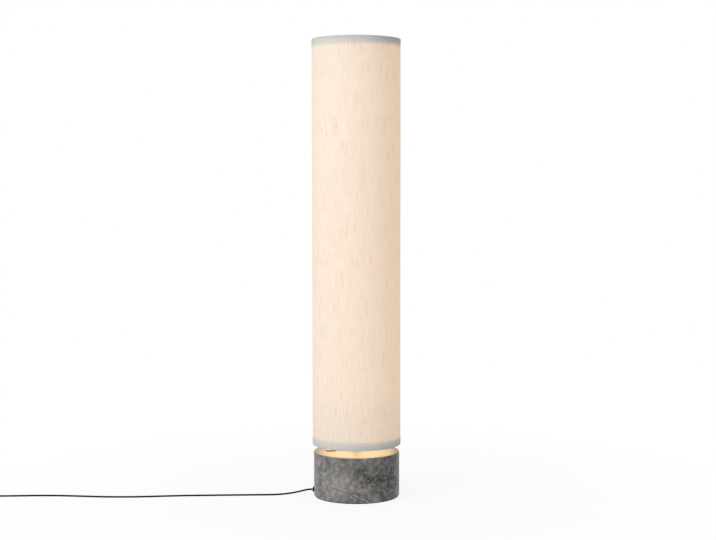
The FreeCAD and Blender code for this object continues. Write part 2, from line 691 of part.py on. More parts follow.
def make_button():
    """The dimmer button and what it works."""
    save("button_cap", button_cap())
    save("button_clip", button_clip())
    save("button_bush", button_bush())
    save("button_spring", button_spring())
    save("button_nut", button_nut())
    save("switch_bracket", switch_bracket())
    save("switch_box", switch_box())
    save("switch_plunger", cyl(PLUNGER_DIAMETER / 2, STEM_TIP - PLUNGER_LENGTH, STEM_TIP, BUTTON_X))


# ---------------------------------------------------------------- spine and lit column
def spine():
    """Steel tube through the stone and the whole column, with a side hole for the lead."""
    shape = tube(SPINE_BORE_R, SPINE_R, ROOF_UNDER - WASHER_THICKNESS - NUT_THICKNESS - 5, CAP_TOP + 12)
    hole_r = LED_LEAD_DIAMETER / 2 + LED_LEAD_CLEARANCE
    hole = rod(hole_r, V(0, 0, LED_LEAD_Z), V(SPINE_R + 1, 0, LED_LEAD_Z))
    return shape.cut(hole)


def carrier():
    """Turned disc that carries the shade's hub and the diffuser's foot."""
    disc = turned(
        [
            (SPINE_R + FIT, CARRIER_UNDER),
            (CARRIER_R - 1, CARRIER_UNDER),
            (CARRIER_R, CARRIER_UNDER + 1),
            (CARRIER_R, CARRIER_TOP),
            (BOSS_R, CARRIER_TOP),
            (BOSS_R, BOSS_TOP - 0.8),
            (BOSS_R - 0.8, BOSS_TOP),
            (SPINE_R + FIT, BOSS_TOP),
        ]
    )
    groove = tube(DIFFUSER_IN_R - 0.1, DIFFUSER_R + 0.1, CARRIER_TOP, BOSS_TOP)
    return disc.cut(groove)


def column_cap():
    """Cap on the diffuser's upper end."""
    cap = turned(
        [
            (SPINE_R + FIT, PROFILE_TOP),
            (DIFFUSER_IN_R - 0.1, PROFILE_TOP),
            (DIFFUSER_IN_R - 0.1, CAP_UNDER),
            (BOSS_R - 0.2, CAP_UNDER),
            (BOSS_R - 0.2, CAP_TOP - 1.5),
            (BOSS_R - 1.7, CAP_TOP),
            (SPINE_R + FIT, CAP_TOP),
        ]
    )
    return cap


def cap_nut():
    """Domed nut that pulls the column together."""
    foot = CAP_TOP + 1.5
    nut = hexagon(NUT_ACROSS_FLATS, foot, foot + 9)
    dome = Part.makeSphere(NUT_ACROSS_FLATS / 2 - 1, V(0, 0, foot + 5))
    dome = dome.common(cyl(NUT_ACROSS_FLATS / 2, foot + 5, foot + NUT_ACROSS_FLATS))
    return nut.fuse(dome).cut(cyl(SPINE_R, foot, CAP_TOP + 12.5)).removeSplitter()


def profile():
    """Aluminium extrusion that cools the LED strips."""
    half = PROFILE_WIDTH / 2
    bar = block(-half, half, -half, half, PROFILE_FOOT, PROFILE_TOP)
    cuts = [cyl(SPINE_R + FIT, PROFILE_FOOT, PROFILE_TOP)]
    for x in (-half, half):
        for y in (-half, half):
            cuts.append(cyl(3.0, PROFILE_FOOT, PROFILE_TOP, x, y))
    return bar.cut(cuts)


def strip():
    """One LED strip's board, on the extrusion's +X face."""
    x0, half = PROFILE_WIDTH / 2, STRIP_WIDTH / 2
    foot, top = PROFILE_FOOT + STRIP_MARGIN, PROFILE_TOP - STRIP_MARGIN
    return block(x0, x0 + STRIP_THICKNESS, -half, half, foot, top)


def chips():
    """The LED packages of the four strips."""
    tall, wide, thick = CHIP_SIZE
    x0 = PROFILE_WIDTH / 2 + STRIP_THICKNESS
    run = PROFILE_TOP - PROFILE_FOOT - 2 * STRIP_MARGIN
    step = run / CHIPS_PER_STRIP
    made = []
    for i in range(CHIPS_PER_STRIP):
        z = PROFILE_FOOT + STRIP_MARGIN + step * (i + 0.5)
        one = block(x0, x0 + thick, -wide / 2, wide / 2, z - tall / 2, z + tall / 2)
        made += [around(one, 90 * side) for side in range(4)]
    return made


def make_column():
    """Spine, its fixings and the light."""
    save("spine_tube", spine())
    save("spine_collar", tube(SPINE_R + FIT, COLLAR_DIAMETER / 2, STONE_TOP, STONE_TOP + COLLAR_THICKNESS))
    collar_top = STONE_TOP + COLLAR_THICKNESS
    save("spacer_sleeve", tube(SPINE_R + FIT, SLEEVE_DIAMETER / 2, collar_top, CARRIER_UNDER))
    save("spine_washer", tube(SPINE_R + FIT, WASHER_DIAMETER / 2, ROOF_UNDER - WASHER_THICKNESS, ROOF_UNDER))
    nut_top = ROOF_UNDER - WASHER_THICKNESS
    nut_foot = nut_top - NUT_THICKNESS
    save("spine_nut", hexagon(NUT_ACROSS_FLATS, nut_foot, nut_top).cut(cyl(SPINE_R, nut_foot, nut_top)))
    save("shade_carrier", carrier())
    save("diffuser_tube", tube(DIFFUSER_IN_R, DIFFUSER_R, CARRIER_TOP, CAP_UNDER))
    save("heat_sink_profile", profile())
    for side in range(4):
        save(f"led_strip_{side + 1}", around(strip(), 90 * side))
    save("led_chips", *chips())
    save("led_ring_board", tube(SPINE_R + RUNNING, BOARD_DIAMETER / 2, BOSS_TOP, BOARD_TOP))
    save("led_connector", block_at(CONNECTOR_SIZE, CONNECTOR_X + CONNECTOR_SIZE[0] / 2, 0, BOARD_TOP))
    save("column_cap", column_cap())
    save("cap_washer", tube(SPINE_R + FIT, 14.0, CAP_TOP, CAP_TOP + 1.5))
    save("cap_nut", cap_nut())


# ---------------------------------------------------------------- shade
def ring_frame(ring_z, hub_bottom):
    """Wire ring, three spokes and a flat hub, welded together."""
    ring = Part.makeTorus(RING_R, RING_WIRE / 2, V(0, 0, ring_z))
    hub = tube(HUB_IN_R, HUB_OUT_R, hub_bottom, hub_bottom + HUB_THICKNESS)
    hub_z = hub_bottom + HUB_THICKNESS / 2
    spoke = rod(SPOKE_WIRE / 2, V(RING_R, 0, ring_z), V(HUB_OUT_R - 2, 0, hub_z))
    spokes = [around(spoke, FIRST_SPOKE + 360 / SPOKES * i) for i in range(SPOKES)]
    inside = cyl(HUB_IN_R, hub_bottom - 20, hub_bottom + 20)
    return ring.fuse([hub] + [s.cut(inside) for s in spokes]).removeSplitter()


def edge_tape(edge_z, inward):
    """Tape folded over a ring: outside band, edge and turned-in flap.

    inward is +1 at the shade's foot and -1 at its top.
    """
    outline = [
        (SHADE_R, edge_z),
        (SHADE_R, edge_z + inward * TAPE_HEIGHT),
        (CLOTH_R, edge_z + inward * TAPE_HEIGHT),
        (CLOTH_R, edge_z + inward * TAPE_THICKNESS),
        (TURN_IN_R, edge_z + inward * TAPE_THICKNESS),
        (TURN_IN_R, edge_z + inward * TAPE_TURN_IN),
        (TURN_IN_R - TAPE_THICKNESS, edge_z + inward * TAPE_TURN_IN),
        (TURN_IN_R - TAPE_THICKNESS, edge_z),
    ]
    tape = turned(outline)
    low, high = sorted((edge_z + inward * TAPE_THICKNESS, edge_z + inward * (TAPE_TURN_IN + 2)))
    notch = block(TURN_IN_R - 8, TURN_IN_R + 1, -SPOKE_WIRE, SPOKE_WIRE, low, high)
    return tape.cut([around(notch, FIRST_SPOKE + 360 / SPOKES * i) for i in range(SPOKES)])


def cloth():
    """Linen sleeve, with the overlap of its glued seam at the back."""
    foot, top = SHADE_FOOT + TAPE_THICKNESS, LAMP_HEIGHT - TAPE_THICKNESS
    sleeve = tube(LINER_R, CLOTH_R, foot, top)
    low, high = SHADE_FOOT + TAPE_HEIGHT, LAMP_HEIGHT - TAPE_HEIGHT
    lap = tube(CLOTH_R - 0.1, CLOTH_R + SEAM_PROUD, low, high)
    lap = lap.common(block(-SEAM_WIDTH / 2, SEAM_WIDTH / 2, 0, SHADE_R + 5, low, high))
    return sleeve.fuse(lap).removeSplitter()


def make_shade():
    """The shade, which lifts off the carrier."""
    foot, top = SHADE_FOOT + TAPE_THICKNESS, LAMP_HEIGHT - TAPE_THICKNESS
    save("shade_cloth", cloth())
    save("shade_liner", tube(LINER_IN_R, LINER_R, foot, top))
    save("lower_ring_frame", ring_frame(foot + RING_WIRE / 2, CARRIER_TOP))
    save("upper_ring_frame", ring_frame(top - RING_WIRE / 2, CAP_UNDER + 2))
    save("lower_edge_tape", edge_tape(SHADE_FOOT, 1))
    save("upper_edge_tape", edge_tape(LAMP_HEIGHT, -1))


# ---------------------------------------------------------------- cord, coil and plug
def coil():
    """Outer shape of the wound cord, with the two straight ends that join the rest."""
    x, y = COIL_CENTRE
    half = CORD_DIAMETER / 2
    height = FLOOR_Z + CORD_PITCH * (COIL_LAYERS - 1) + half
    ring = tube(COIL_MIDDLE_RADIUS - COIL_HALF_WIDTH - half, COIL_OUTER + half, FLOOR_Z - half, height, x, y)
    stub_in = rod(half, V(x, LANE_Y, FLOOR_Z), V(STUB_IN_X, LANE_Y, FLOOR_Z))
    stub_out = rod(half, V(x, LANE_Y, SECOND_LAYER_Z), V(STUB_OUT_X, LANE_Y, SECOND_LAYER_Z))
    return ring.fuse([stub_in, stub_out]).removeSplitter()


def coil_tie():
    """Strap round one side of the coil."""
    x, y = COIL_CENTRE
    half = CORD_DIAMETER / 2
    top = FLOOR_Z + CORD_PITCH * (COIL_LAYERS - 1) + half
    inner_y = y + COIL_MIDDLE_RADIUS - COIL_HALF_WIDTH - half
    outer_y = y + COIL_OUTER + half
    half_width = TIE_WIDTH / 2
    sag = inner_y - y - math.sqrt((inner_y - y) ** 2 - half_width**2)
    low, high = inner_y - sag - RUNNING, outer_y + RUNNING
    roof = top + RUNNING
    outside = block(x - half_width, x + half_width, low - TIE_SHEET, high + TIE_SHEET, 0, roof + TIE_SHEET)
    return outside.cut(block(x - TIE_WIDTH, x + TIE_WIDTH, low, high, 0, roof))


def plug_body():
    """Flat two-pin plug body, narrower at the cord's end."""
    x0, x1 = PLUG_FACE_X, RELIEF_ROOT_X
    half, neck = PLUG_WIDTH / 2, PLUG_NECK / 2
    corners = [
        V(x0, LANE_Y - half, 0),
        V(x0 + 12, LANE_Y - half, 0),
        V(x1, LANE_Y - neck, 0),
        V(x1, LANE_Y + neck, 0),
        V(x0 + 12, LANE_Y + half, 0),
        V(x0, LANE_Y + half, 0),
    ]
    body = Part.Face(Part.makePolygon(corners + corners[:1])).extrude(V(0, 0, PLUG_THICKNESS))
    upright = [e for e in body.Edges if abs(e.Vertexes[0].Z - e.Vertexes[-1].Z) > 1]
    body = body.makeFillet(3.0, upright)
    bore = rod(CORD_DIAMETER / 2, V(x1 - 8, LANE_Y, PLUG_Z), V(x1, LANE_Y, PLUG_Z))
    collars = [
        lying(PIN_DIAMETER / 2 - SLEEVE_STEP, x0, x0 + PIN_ROOT, LANE_Y + side * PIN_PITCH / 2, PLUG_Z)
        for side in (-1, 1)
    ]
    return body.cut([bore] + collars)


def plug_pins():
    """Two round pins, solid to their root in the body."""
    pins = []
    for side in (-1, 1):
        y = LANE_Y + side * PIN_PITCH / 2
        tip_x = PLUG_FACE_X - PIN_LENGTH
        pin = rod(PIN_DIAMETER / 2, V(PLUG_FACE_X, y, PLUG_Z), V(tip_x, y, PLUG_Z))
        tip = [e for e in pin.Edges if abs(e.CenterOfMass.x - tip_x) < 0.01 and e.Closed]
        pin = pin.makeFillet(1.2, tip)
        root = lying(PIN_DIAMETER / 2 - SLEEVE_STEP, PLUG_FACE_X, PLUG_FACE_X + PIN_ROOT, y, PLUG_Z)
        pins.append(pin.fuse(root).removeSplitter())
    return pins


def plug_relief():
    """Tapered, grooved strain relief at the cord's end of the plug."""
    start = V(RELIEF_ROOT_X, LANE_Y, PLUG_Z)
    cone = Part.makeCone(RELIEF_WIDE / 2, RELIEF_NARROW / 2, RELIEF_LENGTH, start, V(1, 0, 0))
    for i in range(4):
        x = RELIEF_ROOT_X + 3.5 + 4.2 * i
        collar = rod(RELIEF_WIDE, V(x, LANE_Y, PLUG_Z), V(x + 1.6, LANE_Y, PLUG_Z))
        core = rod(RELIEF_NARROW / 2 - 0.35, V(x, LANE_Y, PLUG_Z), V(x + 1.6, LANE_Y, PLUG_Z))
        cone = cone.cut(collar.cut(core))
    return cone


def make_cord():
    """The mains cord, wound up at its far end, and its plug."""
    save("power_cord", cord_along(CORD_ROUTE, CORD_DIAMETER, "power cord"))
    save("cord_coil", coil())
    save("cord_tie", coil_tie())
    save("cord_lead_out", cord_along(LEAD_OUT_ROUTE, CORD_DIAMETER, "lead out"))
    save("plug_body", plug_body())
    save("plug_pins", *plug_pins())
    save("plug_strain_relief", plug_relief())


os.makedirs(OUT, exist_ok=True)
make_base()
make_wiring()
make_button()
make_column()
make_shade()
make_cord()
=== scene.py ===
# %% [markdown]
# A column floor lamp: a stone drum, a lit core on a steel spine, and a tall linen shade that drops over
# it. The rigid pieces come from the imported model, which is loaded first and stays as it is. Everything
# below finishes those pieces, or replaces a plain one with a surface worked out here.

import json
import math

import bpy
import numpy as np
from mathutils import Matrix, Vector


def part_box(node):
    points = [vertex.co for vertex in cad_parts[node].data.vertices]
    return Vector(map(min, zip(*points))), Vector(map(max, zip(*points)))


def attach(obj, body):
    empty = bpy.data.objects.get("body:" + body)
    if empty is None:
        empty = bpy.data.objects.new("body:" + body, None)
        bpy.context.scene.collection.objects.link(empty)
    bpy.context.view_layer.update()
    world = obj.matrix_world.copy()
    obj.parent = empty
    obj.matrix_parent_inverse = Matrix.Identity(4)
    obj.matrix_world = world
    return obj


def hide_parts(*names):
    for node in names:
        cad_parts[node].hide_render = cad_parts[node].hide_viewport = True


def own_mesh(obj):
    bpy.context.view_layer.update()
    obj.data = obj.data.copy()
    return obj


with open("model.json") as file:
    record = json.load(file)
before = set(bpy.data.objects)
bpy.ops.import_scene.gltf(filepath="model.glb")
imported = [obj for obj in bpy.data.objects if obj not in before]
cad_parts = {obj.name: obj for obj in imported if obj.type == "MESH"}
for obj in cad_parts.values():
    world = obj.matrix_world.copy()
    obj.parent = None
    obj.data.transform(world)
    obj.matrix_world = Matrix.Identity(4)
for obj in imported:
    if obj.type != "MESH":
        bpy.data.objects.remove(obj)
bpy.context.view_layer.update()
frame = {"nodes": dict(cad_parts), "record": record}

# %% [markdown]
# The camera stands about 3.7 m in front of the lamp, a little above its middle, and looks down by some
# three degrees. A long lens keeps the column's sides almost parallel. The numbers come from fitting a
# pinhole camera to the rims of the shade and the base at the lamp's real size.

# %% Camera
CAMERA_PLACE = (0.0046, -3.6555, 0.8103)
CAMERA_PITCH = 3.321
CAMERA_ROLL = 0.068
LENS_MM = 69.93
SENSOR_MM = 36.0


def set_camera():
    """A camera that looks along +Y, tipped down and rolled by the fitted angles."""
    data = bpy.data.cameras.new("camera")
    data.lens = LENS_MM
    data.sensor_width = SENSOR_MM
    camera = bpy.data.objects.new("camera", data)
    camera.location = CAMERA_PLACE
    camera.rotation_mode = "XYZ"
    camera.rotation_euler = (math.radians(90 - CAMERA_PITCH), math.radians(CAMERA_ROLL), 0)
    bpy.context.scene.collection.objects.link(camera)
    bpy.context.scene.camera = camera


set_camera()
print("camera at", CAMERA_PLACE)

# %% [markdown]
# The mains cord is one length of round rubber-sheathed flex. It leaves the stone low down, drops to the
# floor and wanders off to the side. The stretch that would run on is wound up and tied, as it is for
# storage. A NURBS curve with the route's points as its control points gives one smooth line, and the
# coil's turns are more points of that same line, worked out by a loop.

# %% Cord: facts and route
MM = 0.001
CORD_D = 4.6 * MM
FLOOR_Z = 2.35 * MM
LAYER_RISE = 4.8 * MM
COIL_X, COIL_Y = -991 * MM, 12 * MM
COIL_MIDDLE_MM = 25.8
COIL_HALF_BAND_MM = 7.2
COIL_INNER = (COIL_MIDDLE_MM - COIL_HALF_BAND_MM) * MM
COIL_OUTER = (COIL_MIDDLE_MM + COIL_HALF_BAND_MM) * MM

ROUTE_MM = [
    (-116.5, 0, 15),
    (-127, 0, 15),
    (-141, -1.3, 12.2),
    (-157, -3.2, 8.6),
    (-177, -5.4, 5.4),
    (-201, -7.6, 3.2),
    (-229, -9.2, 2.35),
    (-262, -9.6, 2.35),
    (-302, -11.6, 2.35),
    (-346, -12.9, 2.35),
    (-392, -15.6, 2.35),
    (-440, -17.2, 2.35),
    (-494, -22.4, 2.35),
    (-552, -30.2, 2.35),
    (-612, -34.6, 2.35),
    (-672, -31.8, 2.35),
    (-730, -23.4, 2.35),
    (-786, -16.8, 2.35),
    (-840, -15.2, 2.35),
    (-890, -18.6, 2.35),
    (-930, -21, 2.35),
    (-966, -21, 2.35),
]
LEAD_OUT_MM = [
    (-1016, -21, 7.15),
    (-1025, -21, 7.15),
    (-1034, -21.8, 6.25),
    (-1044, -21, 6.85),
    (-1053, -21, 6.85),
]
TURNS_PER_LAYER = 4
POINTS_PER_TURN = 20
INNERMOST_TURNS = 0.2
STEP_UP_TURNS = 0.5


def coil_points():
    """Four turns spiral inwards on the floor, step up, and four spiral outwards on top.

    A point at t turns stands at the coil's centre plus a radius that shrinks by the same step each turn
    on the first layer and grows by it on the second. It starts nearest the camera. The innermost radius
    holds for a fifth of a turn each side of the change of layer.
    """
    count = TURNS_PER_LAYER * POINTS_PER_TURN
    t = np.linspace(0, TURNS_PER_LAYER, count + 1)[:-1]
    per_turn = (COIL_OUTER - COIL_INNER) / (TURNS_PER_LAYER - INNERMOST_TURNS)
    inward = COIL_OUTER - per_turn * t
    outward = COIL_OUTER - per_turn * (TURNS_PER_LAYER - t)
    radius = np.maximum(np.concatenate([inward, outward, [COIL_OUTER]]), COIL_INNER)
    turn = np.concatenate([t, t + TURNS_PER_LAYER, [2 * TURNS_PER_LAYER]])
    angle = -math.pi / 2 - 2 * math.pi * turn
    rise = np.clip((turn - TURNS_PER_LAYER + STEP_UP_TURNS / 2) / STEP_UP_TURNS, 0, 1)
    height = FLOOR_Z + LAYER_RISE * rise
    return np.stack([COIL_X + radius * np.cos(angle), COIL_Y + radius * np.sin(angle), height], axis=1)


cord_points = np.concatenate([np.array(ROUTE_MM) * MM, coil_points(), np.array(LEAD_OUT_MM) * MM])
print("cord points:", len(cord_points))

# %% [markdown]
# A curve's tube is as thick as its bevel depth times the radius of each point. Here the points hold the
# real radius and the bevel depth is 1, because Blender's box round a curve grows by the points' radius.


# %% Cord: the curve
def make_cord(points):
    """A round bevelled curve on one open NURBS spline."""
    data = bpy.data.curves.new("mains_flex", "CURVE")
    data.dimensions = "3D"
    data.resolution_u = 6
    data.render_resolution_u = 6
    data.bevel_depth = 1.0
    data.bevel_resolution = 4
    data.use_fill_caps = True
    spline = data.splines.new("NURBS")
    spline.points.add(len(points) - 1)
    spline.points.foreach_set("co", np.concatenate([points, np.ones((len(points), 1))], axis=1).ravel())
    spline.points.foreach_set("radius", np.full(len(points), CORD_D / 2))
    spline.order_u = 3
    spline.use_endpoint_u = True
    curve = bpy.data.objects.new("mains_flex", data)
    bpy.context.scene.collection.objects.link(curve)
    return curve


def spline_length(curve):
    """Length of the evaluated line itself, with its bevel left off for a moment."""
    depth = curve.data.bevel_depth
    curve.data.bevel_depth = 0
    graph = bpy.context.evaluated_depsgraph_get()
    mesh = bpy.data.meshes.new_from_object(curve.evaluated_get(graph))
    curve.data.bevel_depth = depth
    co = np.empty(len(mesh.vertices) * 3)
    mesh.vertices.foreach_get("co", co)
    bpy.data.meshes.remove(mesh)
    return float(np.linalg.norm(np.diff(co.reshape(-1, 3), axis=0), axis=1).sum())


flex = make_cord(cord_points)
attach(flex, "lamp")
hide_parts("power_cord", "cord_coil", "cord_lead_out")
cord_length = spline_length(flex)
print("cord length:", round(cord_length, 3), "m")

# %% [markdown]
# Every new piece of this lamp is a thin band or a moulded body, so one helper serves them all: a grid of
# points whose columns close into a ring. Its rows either close too, as on a band with two faces, or end
# in flat caps. The lengths along the piece become its UV map in metres, so a weave keeps its real size.


# %% Surfaces
def surface(name, grid, u, v, closed_rows=True):
    """A mesh from a grid of points: point (i, j) joins (i, j + 1) and (i + 1, j).

    u and v are lengths along the columns and rows, with one value more wherever the grid closes.
    """
    rows, columns = grid.shape[:2]
    index = np.arange(rows * columns).reshape(rows, columns)
    index = np.hstack([index, index[:, :1]])
    faces = []
    if closed_rows:
        index = np.vstack([index, index[:1]])
    else:
        faces = [index[0, :-1][::-1].tolist(), index[-1, :-1].tolist()]
    quads = np.stack([index[:-1, :-1], index[:-1, 1:], index[1:, 1:], index[1:, :-1]], axis=-1).reshape(-1, 4)
    mesh = bpy.data.meshes.new(name)
    mesh.from_pydata(grid.reshape(-1, 3).tolist(), [], quads.tolist() + faces)
    wide, high = np.meshgrid(u, v)
    place = np.stack([wide, high], axis=-1)
    corners = np.stack([place[:-1, :-1], place[:-1, 1:], place[1:, 1:], place[1:, :-1]], axis=2)
    flat = np.zeros((len(mesh.loops), 2))
    flat[: corners.size // 2] = corners.reshape(-1, 2)
    mesh.uv_layers.new(name="lengths").data.foreach_set("uv", flat.ravel())
    mesh.polygons.foreach_set("use_smooth", np.ones(len(mesh.polygons), bool))
    piece = bpy.data.objects.new(name, mesh)
    bpy.context.scene.collection.objects.link(piece)
    return piece


def lengths(line, closed=True):
    """Distance along a line of points, back to its start where it is closed."""
    line = np.vstack([line, line[:1]]) if closed else line
    return np.concatenate([[0], np.cumsum(np.linalg.norm(np.diff(line, axis=0), axis=1))])


def inside_out(piece):
    """Whether a closed mesh encloses a negative volume, from the sum of its corner triangles."""
    piece.data.calc_loop_triangles()
    co = np.array([v.co for v in piece.data.vertices])
    a, b, c = (co[[t.vertices[k] for t in piece.data.loop_triangles]] for k in range(3))
    return float(np.einsum("ij,ij->", a, np.cross(b, c))) < 0


print("surface helpers ready")

# %% [markdown]
# The shade is a sleeve of linen glued to a clear stiff film, so it is round and taut, with only the
# faintest ripple. Its two ends lap over each other in a straight seam at the back. A cylinder would
# show neither. Here a thin closed loop of radius and height is carried round the axis, and the radius
# gains the ripple everywhere and the second thickness of cloth at the lap.

# %% Linen sleeve: shape
cloth_low, cloth_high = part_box("shade_cloth")
tape_low, tape_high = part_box("lower_edge_tape")
liner_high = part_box("shade_liner")[1]
SHADE_FOOT = tape_low[2]
SHADE_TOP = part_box("upper_edge_tape")[1][2]
SHADE_R = tape_high[0]
TAPE_HEIGHT = tape_high[2] - tape_low[2]
TAPE_THICK = 0.5 * MM
CLOTH_R = SHADE_R - TAPE_THICK
LINER_GAP = 0.04 * MM
CLOTH_IN_R = liner_high[0] + LINER_GAP
RIPPLE = 0.10 * MM
RIPPLE_WAVES = ((3, 9, 0.0, 0.6), (7, -14, 1.3, 0.4))
LAP_WIDTH = 12 * MM
LAP_PROUD = 0.4 * MM
STEP_WIDTH = 0.3 * MM
BACK = math.pi / 2


def ring_angles(columns=360, lap_columns=9):
    """Angles round the axis from the seam at the back, with a narrow step each side of the lap."""
    half, step = LAP_WIDTH / 2 / CLOTH_R, STEP_WIDTH / CLOTH_R
    lap = np.linspace(-half, half, lap_columns)
    rest = np.linspace(half + step, 2 * math.pi - half - step, columns)
    return BACK + np.concatenate([lap, rest]), lap_columns


def band(name, loop, proud, ripple=0.0):
    """A closed loop of (radius, height) points carried round the axis.

    The radius gains proud inside the lap, and ripple times two slow waves. Each wave is a share of the
    sine of so many turns of the angle plus so much of the height, from its own start.
    """
    angles, lap_columns = ring_angles()
    a, r, z = angles[None, :], loop[:, :1], loop[:, 1:]
    wave = sum(np.sin(turns * a + climb * z + start) * share for turns, climb, start, share in RIPPLE_WAVES)
    lap = (np.arange(len(angles)) < lap_columns)[None, :] * proud
    radius = r + ripple * wave + lap
    height = z + np.zeros_like(radius)
    grid = np.stack([radius * np.cos(a), radius * np.sin(a), height], axis=-1)
    u = np.append(angles, angles[0] + 2 * math.pi) * CLOTH_R
    return surface(name, grid, u - u[0], lengths(loop))


def sleeve_loop(outer_rows=84, inner_rows=28):
    """Outer face upwards, then inner face downwards."""
    foot, top = cloth_low[2], cloth_high[2]
    outer = np.stack([np.full(outer_rows, CLOTH_R), np.linspace(foot, top, outer_rows)], axis=1)
    inner = np.stack([np.full(inner_rows, CLOTH_IN_R), np.linspace(top, foot, inner_rows)], axis=1)
    return np.concatenate([outer, inner])


sleeve = band("linen_sleeve", sleeve_loop(), LAP_PROUD, RIPPLE)
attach(sleeve, "shade")
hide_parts("shade_cloth")
print("sleeve faces:", len(sleeve.data.polygons), "inside out:", inside_out(sleeve))

# %% [markdown]
# Each end of the sleeve is bound with a woven tape. It stands 15 mm high outside, turns round the wire
# ring and ends in a short flap inside. Its section is a path with two rounded folds. The path gets its
# thickness by stepping half of it to each side, and the whole section is then carried round the axis.


# %% Edge tapes: shape
FOLD_R = 1.3 * MM
FLAP_DEPTH = 5.95 * MM
FLAP_HEIGHT = 5.4 * MM
TAPE_LAP_PROUD = 0.35 * MM


def folded_path():
    """Middle line of the tape: down the outside, round two quarter turns, up inside."""
    half, fold = TAPE_THICK / 2, FOLD_R
    outside, inside = SHADE_R - half, SHADE_R - FLAP_DEPTH
    turn = np.linspace(0, math.pi / 2, 7)
    down = np.stack([np.full(16, outside), np.linspace(TAPE_HEIGHT, half + fold, 16)], axis=1)
    first = np.stack([outside - fold + fold * np.cos(turn), half + fold - fold * np.sin(turn)], axis=1)
    across = np.stack([np.linspace(outside - fold, inside + fold, 5)[1:-1], np.full(3, half)], axis=1)
    second = np.stack([inside + fold - fold * np.sin(turn), half + fold - fold * np.cos(turn)], axis=1)
    up = np.stack([np.full(5, inside), np.linspace(half + fold, FLAP_HEIGHT, 5)], axis=1)
    return np.concatenate([down, first[1:], across, second, up[1:]])


def thickened(path, thickness):
    """A closed loop round a path, half the thickness to each side, with round ends."""
    along = np.gradient(path, axis=0)
    along /= np.linalg.norm(along, axis=1, keepdims=True)
    aside = np.stack([-along[:, 1], along[:, 0]], axis=1) * thickness / 2
    turn = np.linspace(0.25, 0.75, 3)[:, None] * math.pi
    start = path[0] - np.cos(turn) * aside[0] - np.sin(turn) * along[0] * thickness / 2
    end = path[-1] + np.cos(turn) * aside[-1] + np.sin(turn) * along[-1] * thickness / 2
    return np.concatenate([path + aside, end, (path - aside)[::-1], start])


def edge_tape(name, node, edge_z, inward):
    """The bound edge, standing up from edge_z or hanging down from it."""
    loop = thickened(folded_path(), TAPE_THICK)
    loop = np.stack([loop[:, 0], edge_z + inward * loop[:, 1]], axis=1)
    if inward > 0:
        loop = loop[::-1]
    tape = band(name, loop, TAPE_LAP_PROUD)
    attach(tape, "shade")
    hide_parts(node)
    print(name, "faces:", len(tape.data.polygons), "inside out:", inside_out(tape))
    return tape


lower_tape = edge_tape("lower_bound_edge", "lower_edge_tape", SHADE_FOOT, 1)
upper_tape = edge_tape("upper_bound_edge", "upper_edge_tape", SHADE_TOP, -1)

# %% [markdown]
# The plug is a flat moulded body, broad at its pins and narrow where the cord goes in, with grooves for
# the fingers. A box with rounded edges would look like a stand-in. Rings of a superellipse, which is a
# circle pushed towards a rectangle, are carried along the plug and change their width, height and
# squareness on the way. The first and last rings shrink along a quarter turn, which rounds the ends.


# %% Plug
PLUG_NECK_HALF = 10.0 * MM
PLUG_NECK_RISE = 5.4 * MM
PLUG_END_ROUND = 1.6 * MM
PLUG_POWER = 0.5
NECK_POWER = 0.75
NECK_START, NECK_END = 0.30, 0.92
GRIP_GROOVES = (0.30, 0.42, 0.54, 0.66)
GROOVE_DEPTH = 0.45 * MM
GROOVE_WIDTH = 0.022
GROOVE_TOP_SHARE = 0.5


def eased(s, start, end):
    """0 before start, 1 after end, with a smooth S between."""
    t = np.clip((s - start) / (end - start), 0, 1)
    return t * t * (3 - 2 * t)


def signed_power(values, power):
    """Each value's size raised to a power, with its sign kept."""
    return np.sign(values) * np.abs(values) ** power


def plug_rings(rows=72, columns=72, end_rows=6):
    """Points of every ring, from the pins to the neck.

    At share s of the length and angle a, a point lies at half width times cos(a) and half height times
    sin(a), each raised to a power that falls as the section gets squarer.
    """
    low, high = (np.array(corner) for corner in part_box("plug_body"))
    middle, half = (low + high) / 2, (high - low) / 2
    length = high[0] - low[0]
    quarter = np.linspace(0, math.pi / 2, end_rows)
    rounding = PLUG_END_ROUND * (1 - np.sin(quarter))
    inset = PLUG_END_ROUND * (1 - np.cos(quarter))
    s = np.linspace(PLUG_END_ROUND / length, 1 - PLUG_END_ROUND / length, rows)
    s = np.concatenate([inset / length, s[1:-1], 1 - inset[::-1] / length])
    shrink = np.concatenate([rounding, np.zeros(rows - 2), rounding[::-1]])
    neck = eased(s, NECK_START, NECK_END)
    grooves = sum(np.exp(-(((s - place) / GROOVE_WIDTH) ** 2)) for place in GRIP_GROOVES) * GROOVE_DEPTH
    wide = half[1] + (PLUG_NECK_HALF - half[1]) * neck - shrink - grooves
    rise = half[2] + (PLUG_NECK_RISE - half[2]) * neck - shrink - grooves * GROOVE_TOP_SHARE
    power = PLUG_POWER + (NECK_POWER - PLUG_POWER) * neck
    angle = np.linspace(0, 2 * math.pi, columns + 1)[:-1]
    y = middle[1] + wide[:, None] * signed_power(np.cos(angle)[None, :], power[:, None])
    z = middle[2] + rise[:, None] * signed_power(np.sin(angle)[None, :], power[:, None])
    x = low[0] + np.repeat((s * length)[:, None], columns, axis=1)
    return np.stack([x, y, z], axis=-1)


rings = plug_rings()
girth, reach = lengths(rings[0]), lengths(rings[:, 0], closed=False)
plug = surface("plug_moulding", rings, girth, reach, closed_rows=False)
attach(plug, "lamp")
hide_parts("plug_body")
print("plug faces:", len(plug.data.polygons), "inside out:", inside_out(plug))

# %% [markdown]
# The coil is held by a strap of hook tape. It is an arch over one side of the coil, and its tail lies on
# it from the top down the outer leg. A flat section is carried along the arch, stepping up to twice the
# thickness where the tail starts and back just above the floor. A plain box would show no tail.

